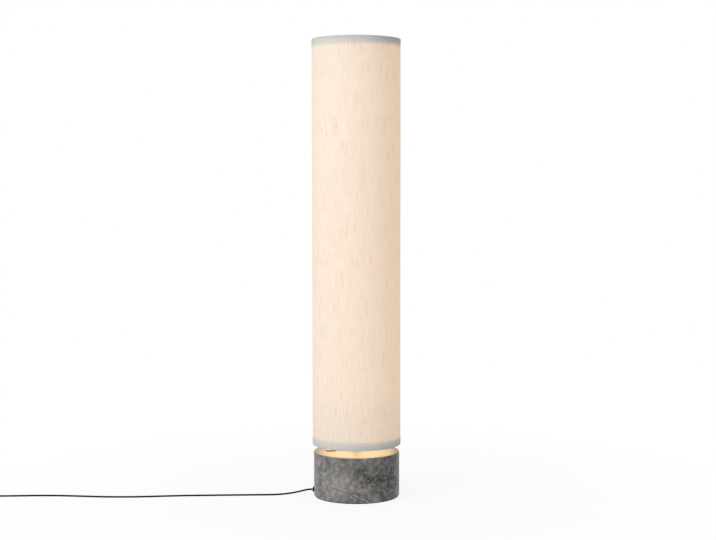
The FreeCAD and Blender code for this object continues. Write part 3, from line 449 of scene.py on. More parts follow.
# %% Coil tie
TIE_SHEET = 1.2 * MM
TIE_BEND = 2.9 * MM
TAIL_THICK = 0.8 * MM
TAIL_STEP = 0.4 * MM
TAIL_START = 0.5
TAIL_ABOVE_FLOOR = 2.5 * MM
TIE_SIDE_POWER = 0.2
TIE_FACE_POWER = 0.5


def arch_line(count=120):
    """Middle line of the strap in y and z: up, a quarter turn, across, a quarter turn, down."""
    low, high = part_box("cord_tie")
    half, bend = TIE_SHEET / 2, TIE_BEND
    near, far, roof = low[1] + half, high[1] - half, high[2] - half
    turn = np.linspace(0, math.pi / 2, 12)
    first = np.stack([near + bend - bend * np.cos(turn), roof - bend + bend * np.sin(turn)], axis=1)
    second = np.stack([far - bend + bend * np.sin(turn), roof - bend + bend * np.cos(turn)], axis=1)
    line = np.vstack([[near, low[2]], first, second, [far, low[2]]])
    reach = lengths(line, closed=False)
    even = np.linspace(0, reach[-1], count)
    return np.stack([np.interp(even, reach, line[:, k]) for k in range(2)], axis=1), even


def tie_rings(columns=28):
    """Sections along the arch.

    At angle a, a point lies across the strap by half its width times cos(a) and out of the arch by half
    its thickness times sin(a), each raised to a small power, which squares the section. The outer side
    gains the tail's thickness between the tail's two steps.
    """
    low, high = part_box("cord_tie")
    line, reach = arch_line()
    along = np.gradient(line, axis=0)
    along /= np.linalg.norm(along, axis=1, keepdims=True)
    outward = np.stack([-along[:, 1], along[:, 0]], axis=1)
    start, end = reach[-1] * TAIL_START, reach[-1] - TAIL_ABOVE_FLOOR
    tail = eased(reach, start, start + TAIL_STEP) * (1 - eased(reach, end, end + TAIL_STEP)) * TAIL_THICK
    angle = np.linspace(0, 2 * math.pi, columns + 1)[:-1]
    across = signed_power(np.cos(angle), TIE_SIDE_POWER) * (high[0] - low[0]) / 2
    rise = signed_power(np.sin(angle), TIE_FACE_POWER)
    out = rise[None, :] * TIE_SHEET / 2 + np.clip(rise, 0, 1)[None, :] * tail[:, None]
    x = (low[0] + high[0]) / 2 - np.repeat(across[None, :], len(line), axis=0)
    y = line[:, :1] + outward[:, :1] * out
    z = line[:, 1:] + outward[:, 1:] * out
    return np.stack([x, y, z], axis=-1)


strap = tie_rings()
girth, reach = lengths(strap[0]), lengths(strap[:, 0], closed=False)
tie = surface("hook_tape_tie", strap, girth, reach, closed_rows=False)
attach(tie, "lamp")
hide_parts("cord_tie")
print("tie faces:", len(tie.data.polygons), "inside out:", inside_out(tie))

# %% [markdown]
# Now everything on the cord exists: its real length and thickness, where it leaves the stone, how it
# lies, and the plug, pins, strain relief and strap that go with it. Here its length and thickness are
# printed.

# %% Cord: what it is
print("cord declared as", round(cord_length, 2), "m of", CORD_D, "m flex")

# %% [markdown]
# The button's return spring is a coil of wire in the bush. The imported spring is rigid, and the pressed
# button would pass through its top. A helix of wire replaces it: rings of the wire's own section are
# carried along the turns. The share of its height that the spring keeps when the button is pressed is
# worked out from the button's travel.

# %% Button spring
SPRING_TURNS = 5
SPRING_WIRE_R = 0.5 * MM


def spring_rings(rows_per_turn=28, columns=10):
    """Wire rings along a helix.

    At t turns the wire's middle stands at the coil's radius and angle 2 pi t, risen by an even pitch.
    Each ring spans the outward direction and the upward one, tipped to stay square to the wire.
    """
    low, high = (np.array(corner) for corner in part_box("button_spring"))
    middle, half = (low + high) / 2, (high - low) / 2
    radius, height = half[0] - SPRING_WIRE_R, 2 * (half[2] - SPRING_WIRE_R)
    angle = np.linspace(0, 2 * math.pi * SPRING_TURNS, SPRING_TURNS * rows_per_turn)[:, None]
    outward = np.concatenate([np.cos(angle), np.sin(angle), 0 * angle], axis=1)
    climb = height / (2 * math.pi * SPRING_TURNS)
    forward = np.concatenate([-np.sin(angle) * radius, np.cos(angle) * radius, 0 * angle + climb], axis=1)
    upward = np.cross(outward, forward / np.linalg.norm(forward, axis=1, keepdims=True))
    centre = np.array([middle[0], middle[1], low[2] + SPRING_WIRE_R])
    line = centre + outward * radius + np.array([0, 0, climb]) * angle
    turn = -np.linspace(0, 2 * math.pi, columns + 1)[:-1]
    ring = np.cos(turn)[None, :, None] * outward[:, None] + np.sin(turn)[None, :, None] * upward[:, None]
    return line[:, None] + SPRING_WIRE_R * ring


wire = spring_rings()
girth, reach = lengths(wire[0]), lengths(wire[:, 0], closed=False)
spring = surface("return_spring", wire, girth, reach, closed_rows=False)
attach(spring, "lamp")
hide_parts("button_spring")
spring_low, spring_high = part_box("button_spring")
joints = {joint["name"]: joint for joint in frame["record"]["behaviour"]["joints"]}
press_travel = joints["button_press"]["range_m"][1]
spring_keep = 1 - press_travel / (spring_high[2] - spring_low[2])
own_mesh(spring)
print("spring faces:", len(spring.data.polygons), "inside out:", inside_out(spring))
print("pressed spring keeps", round(spring_keep, 3), "of its height")

# %% [markdown]
# Finishes are written as sums. A small class wraps a shader socket, so that noise * 0.3 + 0.5 adds the
# Math nodes by itself. Numbers go through Math nodes, colours through Mix nodes. One function makes every
# node: it takes the node's type, what goes into its sockets, and its settings, which are set first.


# %% Shader sums
class Sum:
    """A shader socket that can be added and multiplied like a number."""

    def __init__(self, tree, socket):
        self.tree = tree
        self.socket = socket

    def math(self, operation, *values, clamp=False):
        """A Math node on this socket and more values."""
        settings = {"operation": operation, "use_clamp": clamp}
        return add_node(self.tree, "ShaderNodeMath", dict(enumerate((self, *values))), settings)

    def __add__(self, other):
        return self.math("ADD", other)

    __radd__ = __add__

    def __mul__(self, other):
        return self.math("MULTIPLY", other)

    __rmul__ = __mul__

    def __sub__(self, other):
        return self.math("SUBTRACT", other)

    def __rsub__(self, other):
        return self * -1 + other

    def size(self):
        return self.math("ABSOLUTE")

    def clamped(self):
        return self.math("ADD", 0.0, clamp=True)

    def over(self, low, high):
        """0 below low, 1 above high, a straight ramp between."""
        return ((self - low) * (1 / (high - low))).clamped()


def join(tree, value, socket):
    """Links a Sum to a socket, or sets the socket to a plain value."""
    if isinstance(value, Sum):
        tree.links.new(value.socket, socket)
    else:
        socket.default_value = value


def add_node(tree, kind, values=None, settings=None, output=0):
    """Any node: its settings first, then a value or a link for each socket, by name or number."""
    node = tree.nodes.new(kind)
    for key, value in (settings or {}).items():
        setattr(node, key, value)
    for key, value in (values or {}).items():
        join(tree, value, node.inputs[key])
    return Sum(tree, node.outputs[output])


print("shader sums ready")

# %% [markdown]
# Each finish below is one Principled shader with its own patterns. This class makes the nodes that they
# share: noise, a mix of two colours, a bump, a glow. A method returns a Sum, so a pattern can be added to
# another at once. Only what changes over the surface is linked, and a constant is set on its socket.


# %% Finishes
class Finish:
    """One procedural material: a Principled shader, with patterns on the object's place or its UV map."""

    def __init__(self, name, **constants):
        self.material = bpy.data.materials.new(name)
        self.material.use_nodes = True
        self.tree = self.material.node_tree
        self.shader = self.tree.nodes["Principled BSDF"]
        self.output = self.tree.nodes["Material Output"]
        self.place = self.node("ShaderNodeTexCoord", output="Object")
        for socket, value in constants.items():
            self.shader.inputs[socket.replace("_", " ")].default_value = value

    def node(self, kind, values=None, settings=None, output=0):
        """A node of this finish."""
        return add_node(self.tree, kind, values, settings, output)

    def noise(self, scale, detail=4.0, roughness=0.55, stretch=(1, 1, 1), distortion=0.0, place=None):
        """Soft noise at so many features a metre, stretched along an axis where asked."""
        values = {
            "Vector": self.node("ShaderNodeMapping", {"Vector": place or self.place, "Scale": stretch}),
            "Scale": scale,
            "Detail": detail,
            "Roughness": roughness,
            "Distortion": distortion,
        }
        return self.node("ShaderNodeTexNoise", values)

    def mix(self, low, high, amount):
        """Colour between two colours by an amount from 0 to 1. A Mix node's colours are sockets 6 and 7."""
        low, high = (colour if isinstance(colour, Sum) else (*colour, 1) for colour in (low, high))
        values = {"Factor": amount, 6: low, 7: high}
        return self.node("ShaderNodeMix", values, {"data_type": "RGBA"}, output=2)

    def bump(self, height, strength=0.3, distance=0.001):
        """Raises the surface by a height pattern."""
        values = {"Height": height, "Strength": strength, "Distance": distance}
        self.feed(Normal=self.node("ShaderNodeBump", values))

    def feed(self, **inputs):
        """Links patterns to the shader's sockets."""
        for key, value in inputs.items():
            join(self.tree, value, self.shader.inputs[key.replace("_", " ")])

    def glow(self, colour, strength):
        """Light that the surface gives off: a pattern for its colour, one number for its strength."""
        self.feed(Emission_Color=colour)
        self.shader.inputs["Emission Strength"].default_value = strength

    def along(self):
        """The piece's own lengths, as a vector."""
        return self.node("ShaderNodeTexCoord", output="UV")

    def split(self, vector=None):
        """x, y and z of a vector, which is the object's own place unless another is given."""
        x = self.node("ShaderNodeSeparateXYZ", {"Vector": vector or self.place})
        return [Sum(self.tree, socket) for socket in x.socket.node.outputs]

    def near(self, centre, reach):
        """1 at a point of the object, fading to 0 at a distance."""
        values = {0: self.place, 1: centre}
        away = self.node("ShaderNodeVectorMath", values, {"operation": "DISTANCE"}, output="Value")
        return 1 - away.over(0.0, reach)


def dress(pieces, finish):
    """Gives a finish to CAD nodes, by name, or to pieces made here."""
    for piece in pieces:
        data = (frame["nodes"][piece] if isinstance(piece, str) else piece).data
        data.materials.clear()
        data.materials.append(finish.material)


def linear(*screen):
    """Linear colour from a 0 to 255 screen colour."""
    shares = (value / 255 for value in screen)
    return tuple(c / 12.92 if c < 0.04045 else ((c + 0.055) / 1.055) ** 2.4 for c in shares)


def scaled(colour, by):
    """A colour times a number, held at 1."""
    return tuple(min(1.0, value * by) for value in colour)


print("finish helpers ready")

# %% [markdown]
# The base is honed grey stone. Real marble of this sort is mottled all through: pale and dark grains a
# few millimetres wide, larger clouds, some places browner. Noise at three sizes builds that. A few soft
# patches make the front of the drum paler at the left and darker at the right, and the whole drum is
# painted paler towards the left, as painted light from the key lamp's side. A vein is a thin sheet that
# runs through the block, so it shows where a slanting plane meets the surface: the distance to the plane,
# shaken by noise, is pale near 0 with a dark line beside it. The top face is ground finer than the wall,
# and its mottling is fainter.

# %% Stone
STONE_DARK = linear(46, 46, 45)
STONE_MID = linear(150, 149, 146)
STONE_PALE = linear(206, 204, 198)
STONE_BROWN = linear(160, 150, 139)
# How much paler the stone is painted towards the left, as painted light from the key lamp's side.
PAINTED_LIGHT_TO_LEFT = 1.9
DARK_PATCHES = [
    ((0.082, -0.078, 0.058), 0.042),
    ((0.018, -0.111, 0.070), 0.034),
    ((0.048, -0.102, 0.068), 0.03),
]
PALE_PATCHES = [((-0.062, -0.094, 0.030), 0.045), ((-0.030, -0.108, 0.052), 0.04)]
PATCH_LIFT = 0.29
PATCH_DROP = 0.38
CLOUDS_A_METRE = 24
MOTTLE_A_METRE = 62
GRAINS_A_METRE = 88
CLOUD_RAMP = (0.32, 0.68)
CLOUD_SHARE = 0.22
MOTTLE_RAMP = (0.38, 0.62)
MOTTLE_SHARE = 0.42
LEAST_TONE = 0.12
BROWN_RAMP = (0.56, 0.72)
BROWN_CLOUDS = 0.35
BROWN_PATCHES = 0.45
FLECK_RAMP = (0.53, 0.62)
FLECK_SHARE = 0.26
PIT_RAMP = (0.36, 0.46)
PIT_SHARE = 0.30
VEIN_SHARE = 0.54
BESIDE_SHARE = 0.34
VEIN_SHAKES_A_METRE = 22
VEIN_BREAKS_A_METRE = 60
BREAK_RAMP = (0.32, 0.55)
VEIN_SLOPE = (0.461, 0.377, 1.0)
VEIN_OFFSET = 0.0215
VEIN_SHAKE = 0.014
VEIN_WIDTH = 0.0020
VEIN_SHADE = 0.0040
TOP_CALM = 0.84
TOP_TONE = 0.50
TOP_EDGE = (1.5 * MM, 0.3 * MM)
STONE_ROUGHNESS = 0.38
STONE_ROUGHNESS_SPREAD = 0.14
GRAIN_RELIEF = 0.5
MOTTLE_RELIEF = 0.3


def patches(finish, places):
    """The sum of soft round patches at named places on the stone."""
    total = 0.0
    for centre, reach in places:
        total = finish.near(centre, reach) + total
    return total.clamped()


def vein_distance(finish):
    """Signed distance, about, to the vein's slanting plane, shaken by noise."""
    x, y, z = finish.split()
    shake = (finish.noise(VEIN_SHAKES_A_METRE, detail=4) - 0.5) * VEIN_SHAKE
    return x * VEIN_SLOPE[0] + y * VEIN_SLOPE[1] + z * VEIN_SLOPE[2] + VEIN_OFFSET + shake


def stone_finish():
    """Mottled grey stone with one vein, and painted light that makes it paler towards the left."""
    finish = Finish("honed_stone")
    clouds = finish.noise(CLOUDS_A_METRE, detail=3, roughness=0.5)
    mottle = finish.noise(MOTTLE_A_METRE, detail=4, roughness=0.6, distortion=0.5)
    grains = finish.noise(GRAINS_A_METRE, detail=3, roughness=0.55, distortion=0.8)
    across = finish.split()[0]
    dark = patches(finish, DARK_PATCHES)
    pale = patches(finish, PALE_PATCHES)
    even = mottle.over(*MOTTLE_RAMP) * MOTTLE_SHARE + clouds.over(*CLOUD_RAMP) * CLOUD_SHARE + LEAST_TONE
    # The stone's tone is made paler towards the left: painted light from the key lamp's side.
    tone = (even + pale * PATCH_LIFT - dark * PATCH_DROP - across * PAINTED_LIGHT_TO_LEFT).clamped()
    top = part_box("stone_base")[1][2]
    calm = 1 - finish.split()[2].over(top - TOP_EDGE[0], top - TOP_EDGE[1]) * TOP_CALM
    tone = (tone - TOP_TONE) * calm + TOP_TONE
    colour = finish.mix(STONE_DARK, STONE_MID, tone)
    brown = pale * BROWN_PATCHES + clouds.over(*BROWN_RAMP) * BROWN_CLOUDS
    colour = finish.mix(colour, STONE_BROWN, brown * calm)
    fleck = grains.over(*FLECK_RAMP) * calm
    colour = finish.mix(colour, STONE_PALE, fleck * FLECK_SHARE)
    pit = (1 - grains.over(*PIT_RAMP)) * calm
    colour = finish.mix(colour, STONE_DARK, pit * PIT_SHARE)
    away = vein_distance(finish)
    broken = finish.noise(VEIN_BREAKS_A_METRE, detail=2).over(*BREAK_RAMP)
    vein = (1 - away.size().over(0.0, VEIN_WIDTH)) * broken
    beside = (1 - (away + VEIN_SHADE).size().over(0.0, VEIN_SHADE)) * broken
    colour = finish.mix(colour, STONE_DARK, beside * BESIDE_SHARE)
    colour = finish.mix(colour, STONE_PALE, vein * VEIN_SHARE)
    finish.feed(Base_Color=colour, Roughness=STONE_ROUGHNESS + mottle * STONE_ROUGHNESS_SPREAD)
    finish.bump(grains * GRAIN_RELIEF + mottle * MOTTLE_RELIEF, strength=0.14, distance=0.0005)
    return finish


dress(["stone_base"], stone_finish())
print("stone from", [round(c, 3) for c in STONE_DARK], "to", [round(c, 3) for c in STONE_PALE])

# %% [markdown]
# The shade is natural linen on a translucent film. Linen thread varies in thickness, so the cloth shows
# slubs, long and upright here, and shorter ones across. The lit core sends light through it evenly, and
# that light is warm, while the cloth itself is nearly neutral: so the side away from the key light looks
# peach and the side towards it looks cream. The glow is the same all round, and the lamps do the rest.
# It stops beside each edge, where the wire and the turned-in flap block the light, and it is weaker along
# the lap at the back, where it comes through two thicknesses of cloth.

# %% Linen
LINEN = (0.512, 0.566, 0.588)
LINEN_THICK = (0.388, 0.420, 0.428)
GLOW = (0.600, 0.395, 0.220)
GLOW_THICK = (0.450, 0.266, 0.134)
EDGE_FADE = 0.010
FOOT_FADE = 0.16
HEAD_FADE = 0.12
FOOT_DIM = 0.16
HEAD_DIM = 0.07
LAP_SHADE = 0.15
THREADS_A_METRE = 1150
SLUBS_A_METRE = 300
CROSS_SLUBS_A_METRE = 330
BLOTCHES_A_METRE = 45
THREAD_RAMP = (0.36, 0.66)
WARP_SHARE = 0.30
WEFT_SHARE = 0.20
SLUB_RAMP = (0.50, 0.72)
SLUB_SHARE = 0.46
CROSS_RAMP = (0.58, 0.76)
CROSS_SHARE = 0.28
BLOTCH_RAMP = (0.35, 0.7)
BLOTCH_SHARE = 0.10
WARP_RELIEF = 0.4
WEFT_RELIEF = 0.3
SLUB_RELIEF = 0.5
CROSS_RELIEF = 0.4


def linen_finish():
    """Woven cloth with slubs, lit from behind."""
    finish = Finish("linen", Roughness=0.92, Sheen_Weight=0.12, Specular_IOR_Level=0.2)
    cloth = finish.along()
    height = finish.split()[2]
    warp = finish.noise(THREADS_A_METRE, detail=2, stretch=(1, 0.035, 1), place=cloth)
    weft = finish.noise(THREADS_A_METRE, detail=2, stretch=(0.035, 1, 1), place=cloth)
    slub = finish.noise(SLUBS_A_METRE, detail=3, roughness=0.6, stretch=(1, 0.05, 1), place=cloth)
    slub = slub.over(*SLUB_RAMP)
    cross = finish.noise(CROSS_SLUBS_A_METRE, detail=2, stretch=(0.09, 1, 1), place=cloth)
    cross = cross.over(*CROSS_RAMP)
    blotch = finish.noise(BLOTCHES_A_METRE, detail=3, place=cloth).over(*BLOTCH_RAMP)
    thread = warp.over(*THREAD_RAMP) * WARP_SHARE + weft.over(*THREAD_RAMP) * WEFT_SHARE
    thick = (thread + slub * SLUB_SHARE + cross * CROSS_SHARE + blotch * BLOTCH_SHARE).clamped()
    foot, top = SHADE_FOOT + TAPE_HEIGHT, SHADE_TOP - TAPE_HEIGHT
    above_foot = height.over(foot - EDGE_FADE, foot + EDGE_FADE)
    below_top = 1 - height.over(top - EDGE_FADE, top + EDGE_FADE)
    dim_foot = (1 - height.over(foot, foot + FOOT_FADE)) * FOOT_DIM
    dim_head = height.over(top - HEAD_FADE, top) * HEAD_DIM
    doubled = 1 - finish.split(cloth)[0].over(LAP_WIDTH, LAP_WIDTH + STEP_WIDTH)
    through = above_foot * below_top * (1 - dim_foot - dim_head) * (1 - doubled * LAP_SHADE)
    glow = finish.mix((0.0, 0.0, 0.0), finish.mix(GLOW, GLOW_THICK, thick), through)
    finish.feed(Base_Color=finish.mix(LINEN, LINEN_THICK, thick))
    finish.glow(glow, 1.0)
    relief = warp * WARP_RELIEF + weft * WEFT_RELIEF + slub * SLUB_RELIEF + cross * CROSS_RELIEF
    finish.bump(relief, strength=0.4, distance=0.0004)
    return finish


dress([sleeve], linen_finish())
print("linen glow", GLOW)

# %% [markdown]
# The edge tape is a light grey ribbon. It is woven across its length with a fine rib. Over the cloth it
# is painted paler, as painted light from the core leaking through its inner half, and towards the fold
# round the wire it is painted darker, as painted shade, so its tone follows the distance from the
# shade's edge. The film inside the cloth is milky and lit by the core, so it glows a little as well.
# The wire frames and the spine's fittings are painted metal, which has a fine orange-peel skin.


# %% Tape, film and frame
TAPE_PALE = (0.84, 0.825, 0.80)
TAPE_DARK = (0.53, 0.52, 0.505)
RIBS_A_METRE = 1500
UNEVEN_A_METRE = 120
WEAVE_RAMP = (0.3, 0.7)
RIB_SHARE = 0.28
UNEVEN_SHARE = 0.20
# How much painted light from the core the tape gets over the cloth.
PAINTED_LEAK_SHARE = 0.46
LEAST_PALE = 0.03
FILM_DARK = (0.50, 0.47, 0.41)
FILM_PALE = (0.55, 0.52, 0.46)
FILM_GLOW = 0.36
FILM_CLOUDS_A_METRE = 60
CORE_LIGHT = (1.0, 0.80, 0.56)
CORE_LIGHT_LOW = (0.95, 0.75, 0.51)
PAINT_ROUGHNESS = 0.45
PAINT_DARKER = 0.93
PAINT_CLOUDS_A_METRE = 40
PEEL_A_METRE = 900


def tape_finish():
    """Woven ribbon: fine ribs across it, and painted light that makes it paler away from the shade's edge."""
    finish = Finish("edge_tape", Roughness=0.85, Sheen_Weight=0.1, Specular_IOR_Level=0.2)
    ribbon = finish.along()
    ribs = finish.noise(RIBS_A_METRE, detail=1, stretch=(1, 0.12, 1), place=ribbon)
    uneven = finish.noise(UNEVEN_A_METRE, detail=3, place=ribbon)
    height = finish.split()[2]
    # A ramp from the fold to the cloth side: painted light over the cloth, painted shade at the fold.
    above_foot = height.over(SHADE_FOOT, SHADE_FOOT + TAPE_HEIGHT)
    below_top = 1 - height.over(SHADE_TOP - TAPE_HEIGHT, SHADE_TOP)
    weave = ribs.over(*WEAVE_RAMP) * RIB_SHARE + uneven.over(*WEAVE_RAMP) * UNEVEN_SHARE
    amount = (weave + above_foot * below_top * PAINTED_LEAK_SHARE + LEAST_PALE).clamped()
    finish.feed(Base_Color=finish.mix(TAPE_DARK, TAPE_PALE, amount))
    finish.bump(ribs, strength=0.4, distance=0.0003)
    return finish


def film_finish():
    """Milky film inside the cloth, lit by the core."""
    finish = Finish("shade_film", Roughness=0.6)
    grain = finish.noise(FILM_CLOUDS_A_METRE, detail=3)
    finish.feed(Base_Color=finish.mix(FILM_DARK, FILM_PALE, grain))
    finish.glow(finish.mix(CORE_LIGHT, CORE_LIGHT_LOW, grain), FILM_GLOW)
    return finish


def powder_coat(name, colour):
    """Painted metal with a fine orange-peel skin."""
    finish = Finish(name, Roughness=PAINT_ROUGHNESS)
    clouds = finish.noise(PAINT_CLOUDS_A_METRE, detail=2)
    finish.feed(Base_Color=finish.mix(scaled(colour, PAINT_DARKER), colour, clouds))
    finish.bump(finish.noise(PEEL_A_METRE, detail=2), strength=0.15, distance=0.0003)
    return finish


dress([lower_tape, upper_tape], tape_finish())
dress(["shade_liner"], film_finish())
frame_white = powder_coat("frame_white", linear(232, 229, 222))
spine_coat = powder_coat("spine_coat", linear(214, 208, 198))
dress(["lower_ring_frame", "upper_ring_frame"], frame_white)
dress(["spacer_sleeve", "spine_collar", "spine_tube", "cap_nut"], spine_coat)
print("tape, film and frames done")

# %% [markdown]
# The core is an opal tube round the LED strips. It is the brightest thing inside the shade, and it lights
# the film and the carrier. Its ends glow a touch more orange, because no LED stands right beside them.

# %% Core
OPAL_GLOW = 0.40
OPAL_DARK = (0.64, 0.61, 0.55)
OPAL_PALE = (0.68, 0.65, 0.59)
OPAL_LIGHT = (1.0, 0.84, 0.62)
OPAL_FOOT_FADE = 0.03
OPAL_HEAD_FADE = 0.035
OPAL_CLOUDS_A_METRE = 50


def opal_finish():
    """Opal plastic that glows warm white, a touch more orange at its two ends."""
    finish = Finish("opal", Roughness=0.3)
    low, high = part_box("diffuser_tube")
    height = finish.split()[2]
    even = height.over(low[2], low[2] + OPAL_FOOT_FADE) * (1 - height.over(high[2] - OPAL_HEAD_FADE, high[2]))
    cloud = finish.noise(OPAL_CLOUDS_A_METRE, detail=2)
    finish.feed(Base_Color=finish.mix(OPAL_DARK, OPAL_PALE, cloud))
    finish.glow(finish.mix(CORE_LIGHT, OPAL_LIGHT, even), OPAL_GLOW)
    return finish


dress(["diffuser_tube"], opal_finish())
print("core glow", OPAL_GLOW)

# %% [markdown]
# Most inner parts share two kinds of finish. Bare metal shows the lines that a tool or a die left, and
# noise that is stretched along one axis makes those lines. Moulded plastic and rubber have a fine even
# texture, and they differ in colour, roughness and gloss.

# %% Metals and plastics
LINES_A_METRE = 500
METAL_DARKER = 0.85
METAL_SPREAD = 0.08
PLASTIC_LIGHTER = 1.15
PLASTIC_LEAST = 0.002
PLASTIC_SPREAD = 0.05
PLASTIC_CLOUDS_A_METRE = 30


def metal(name, colour, roughness=0.35, grain=(1, 1, 1)):
    """Bare metal with drawn or turned grain."""
    finish = Finish(name, Metallic=1.0)
    lines = finish.noise(LINES_A_METRE, detail=3, stretch=grain)
    finish.feed(
        Base_Color=finish.mix(scaled(colour, METAL_DARKER), colour, lines),
        Roughness=roughness - METAL_SPREAD + lines * (2 * METAL_SPREAD),
    )
    finish.bump(lines, strength=0.1, distance=0.0002)
    return finish


def plastic(name, colour, roughness=0.5, grain=700.0, gloss=0.5):
    """Moulded plastic or rubber with a fine spark-eroded texture."""
    finish = Finish(name, Specular_IOR_Level=gloss)
    texture = finish.noise(grain, detail=2)
    lighter = tuple(value * PLASTIC_LIGHTER + PLASTIC_LEAST for value in colour)
    finish.feed(
        Base_Color=finish.mix(colour, lighter, finish.noise(PLASTIC_CLOUDS_A_METRE, detail=2)),
        Roughness=roughness - PLASTIC_SPREAD + texture * (2 * PLASTIC_SPREAD),
    )
    finish.bump(texture, strength=0.12, distance=0.0003)
    return finish


led_boards = [f"led_strip_{i}" for i in range(1, 5)] + ["led_ring_board"]
screws = ["base_plate_screws", "plate_mounted_screws", "terminal_screws", "spine_nut"]
dress(["shade_carrier", "column_cap"], metal("turned_aluminium", (0.78, 0.78, 0.78), 0.3, (1, 1, 12)))
dress(["heat_sink_profile"], metal("extrusion", (0.75, 0.75, 0.76), 0.35, (1, 1, 0.03)))
dress(led_boards, plastic("board_white", (0.78, 0.78, 0.76), 0.3))
dress(["led_chips"], plastic("led_phosphor", (0.85, 0.62, 0.12), 0.3))
dress(["base_plate", "switch_bracket", "spine_washer", "cap_washer"], metal("zinc", (0.62, 0.63, 0.64), 0.38))
dress(screws, metal("steel", (0.55, 0.55, 0.55)))
dress([spring, "button_clip"], metal("spring_steel", (0.5, 0.5, 0.5), 0.25))
dress(["threaded_inserts", "button_bush", "button_nut"], metal("brass", (0.72, 0.52, 0.22), 0.28))
dress(["plug_pins"], metal("nickel", (0.72, 0.7, 0.66), 0.2, (0.05, 1, 1)))
print("core boards and metals done")

# %% [markdown]
# The button is a low disc with a satin bronze face. Its turned side is painted near black, as painted
# shade, so from the front it reads as a thin dark line under a lit top. The cable entry, strain relief
# and plug are black and moulded.

# %% Button, cord and inner plastics
BUTTON_FACE = (0.50, 0.41, 0.31)
# The side's near-black colour is painted shade.
BUTTON_SIDE_SHADE = (0.006, 0.0045, 0.0035)
FACE_EDGE = (0.6 * MM, 0.3 * MM)
RINGS_A_METRE = 900
BUTTON_ROUGHNESS = 0.34
BUTTON_ROUGHNESS_SPREAD = 0.12


def button_finish():
    """Satin face with turned rings, and a near-black side that is painted shade: the object's height says
    which.
    """
    finish = Finish("bronze_face_painted_shade_side")
    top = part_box("button_cap")[1][2]
    face = finish.split()[2].over(top - FACE_EDGE[0], top - FACE_EDGE[1])
    rings = finish.noise(RINGS_A_METRE, detail=2, stretch=(1, 1, 0.1))
    # The side is painted dark as painted shade.
    side = finish.mix(BUTTON_SIDE_SHADE, scaled(BUTTON_SIDE_SHADE, 1.6), rings)
    finish.feed(
        Base_Color=finish.mix(side, finish.mix(scaled(BUTTON_FACE, 0.9), BUTTON_FACE, rings), face),
        Roughness=BUTTON_ROUGHNESS + rings * BUTTON_ROUGHNESS_SPREAD,
    )
    finish.bump(rings, strength=0.1, distance=0.0002)
    return finish


black_rubber = plastic("black_rubber", (0.003, 0.003, 0.003), 0.75, 900.0, gloss=0.10)
dress(["button_cap"], button_finish())
dress(["cord_grommet", "plug_strain_relief", "cord_inside_base", flex], black_rubber)
dress([plug], plastic("plug_black", (0.008, 0.008, 0.008), 0.55, 1100.0, gloss=0.3))
dress([tie], plastic("tie_black", (0.016, 0.016, 0.016), 0.85, 1500.0, gloss=0.2))
dress(["switch_box", "switch_plunger"], plastic("switch_plastic", (0.03, 0.03, 0.03), 0.4))
nylon = plastic("nylon", (0.72, 0.71, 0.67), 0.45)
dress(["cord_saddle", "terminal_block", "led_connector", "led_driver"], nylon)
dress(["led_lead", "switch_lead"], plastic("white_lead", (0.7, 0.7, 0.68), 0.5))
dress(["mains_cores", "driver_cores"], plastic("core_insulation", (0.06, 0.09, 0.3), 0.45))
dress(["foot_ring"], plastic("felt", (0.035, 0.035, 0.035), 0.95, 1800.0))
print("plastics done")

# %% [markdown]
# The stage is a pale floor. The camera sees it as white, and so do mirrors and glass, but it lights the
# lamp only by what falls on it. Near the lamp it keeps some of its real shading, so a soft shadow stays.

# %% Floor
FLOOR_HALF = 12.0
FLOOR_WHITE = 0.95
FLOOR_SPREAD = 0.01
FLOOR_CLOUDS_A_METRE = 3
SHADOW_KEPT = 0.12
SHADOW_REACH = 1.1


def seen_directly(tree):
    """1 where a ray comes from the camera, a mirror or through glass, else 0."""
    camera, glossy, through = (
        add_node(tree, "ShaderNodeLightPath", output=f"Is {kind} Ray")
        for kind in ("Camera", "Glossy", "Transmission")
    )
    return (camera + glossy + through).clamped()


def make_floor():
    """A flat sheet under the lamp."""
    half = FLOOR_HALF
    mesh = bpy.data.meshes.new("floor")
    corners = [(-half, -half, 0), (half, -half, 0), (half, half, 0), (-half, half, 0)]
    mesh.from_pydata(corners, [], [(0, 1, 2, 3)])
    floor = bpy.data.objects.new("floor", mesh)
    bpy.context.scene.collection.objects.link(floor)
    finish = Finish("floor_white", Roughness=0.9, Specular_IOR_Level=0.1)
    low, high = (FLOOR_WHITE - FLOOR_SPREAD,) * 3, (FLOOR_WHITE,) * 3
    clouds = finish.noise(FLOOR_CLOUDS_A_METRE, detail=2)
    finish.feed(Base_Color=finish.mix(low, high, clouds))
    share = seen_directly(finish.tree) * (1 - finish.near((0, 0, 0), SHADOW_REACH) * SHADOW_KEPT)
    lit = Sum(finish.tree, finish.shader.outputs[0])
    white = finish.node("ShaderNodeEmission")
    blend = finish.node("ShaderNodeMixShader", {0: share, 1: lit, 2: white})
    join(finish.tree, blend, finish.output.inputs["Surface"])
    mesh.materials.append(finish.material)


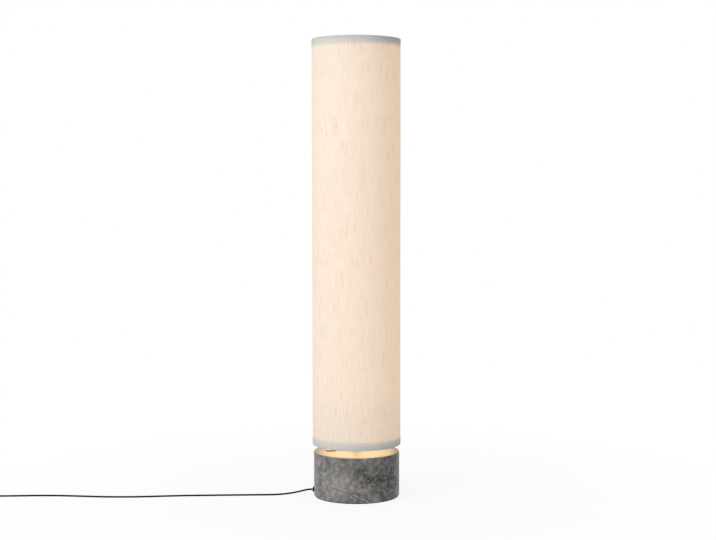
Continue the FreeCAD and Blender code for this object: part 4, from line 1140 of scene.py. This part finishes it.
make_floor()
print("floor", 2 * FLOOR_HALF, "m wide")

# %% [markdown]
# The world is white to the camera and in reflections, and a weaker even light on the lamp. One large lamp
# from the left and above gives the form. A small warm disc under the carrier stands for the light that
# the core sends down past its own foot.

# %% World and lamps
WORLD_LEVEL = 0.42
KEY_PLACE = (-2.4, -2.7, 2.6)
KEY_SIZE = 2.0
KEY_WATTS = 74
AIM = (0, 0, 0.6)
FOOT_LIGHT_SIZE = 0.21
FOOT_LIGHT_WATTS = 0.40
FOOT_LIGHT_COLOUR = (1.0, 0.70, 0.38)
FOOT_LIGHT_DROP = 1 * MM


def make_world():
    """White to the eye, and a soft even light on the lamp."""
    world = bpy.data.worlds.new("studio")
    bpy.context.scene.world = world
    world.use_nodes = True
    background = world.node_tree.nodes["Background"]
    background.inputs["Color"].default_value = (1, 1, 1, 1)
    level = seen_directly(world.node_tree) * (1 - WORLD_LEVEL) + WORLD_LEVEL
    join(world.node_tree, level, background.inputs["Strength"])


def area_lamp(name, place, size, watts):
    """A soft square lamp that points at the column's middle."""
    data = bpy.data.lights.new(name, "AREA")
    data.size = size
    data.energy = watts
    lamp = bpy.data.objects.new(name, data)
    lamp.location = place
    toward = Vector(AIM) - Vector(place)
    lamp.rotation_euler = toward.to_track_quat("-Z", "Y").to_euler()
    bpy.context.scene.collection.objects.link(lamp)


def foot_light():
    """A warm disc just under the carrier that faces the stone and can't itself be seen."""
    data = bpy.data.lights.new("core_foot", "AREA")
    data.shape = "DISK"
    data.size = FOOT_LIGHT_SIZE
    data.energy = FOOT_LIGHT_WATTS
    data.color = FOOT_LIGHT_COLOUR
    lamp = bpy.data.objects.new("core_foot", data)
    lamp.location = (0, 0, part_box("shade_carrier")[0][2] - FOOT_LIGHT_DROP)
    lamp.visible_camera = False
    bpy.context.scene.collection.objects.link(lamp)


make_world()
area_lamp("key", KEY_PLACE, KEY_SIZE, KEY_WATTS)
foot_light()
bpy.context.scene.view_settings.view_transform = "Standard"
print("world and lamps ready")
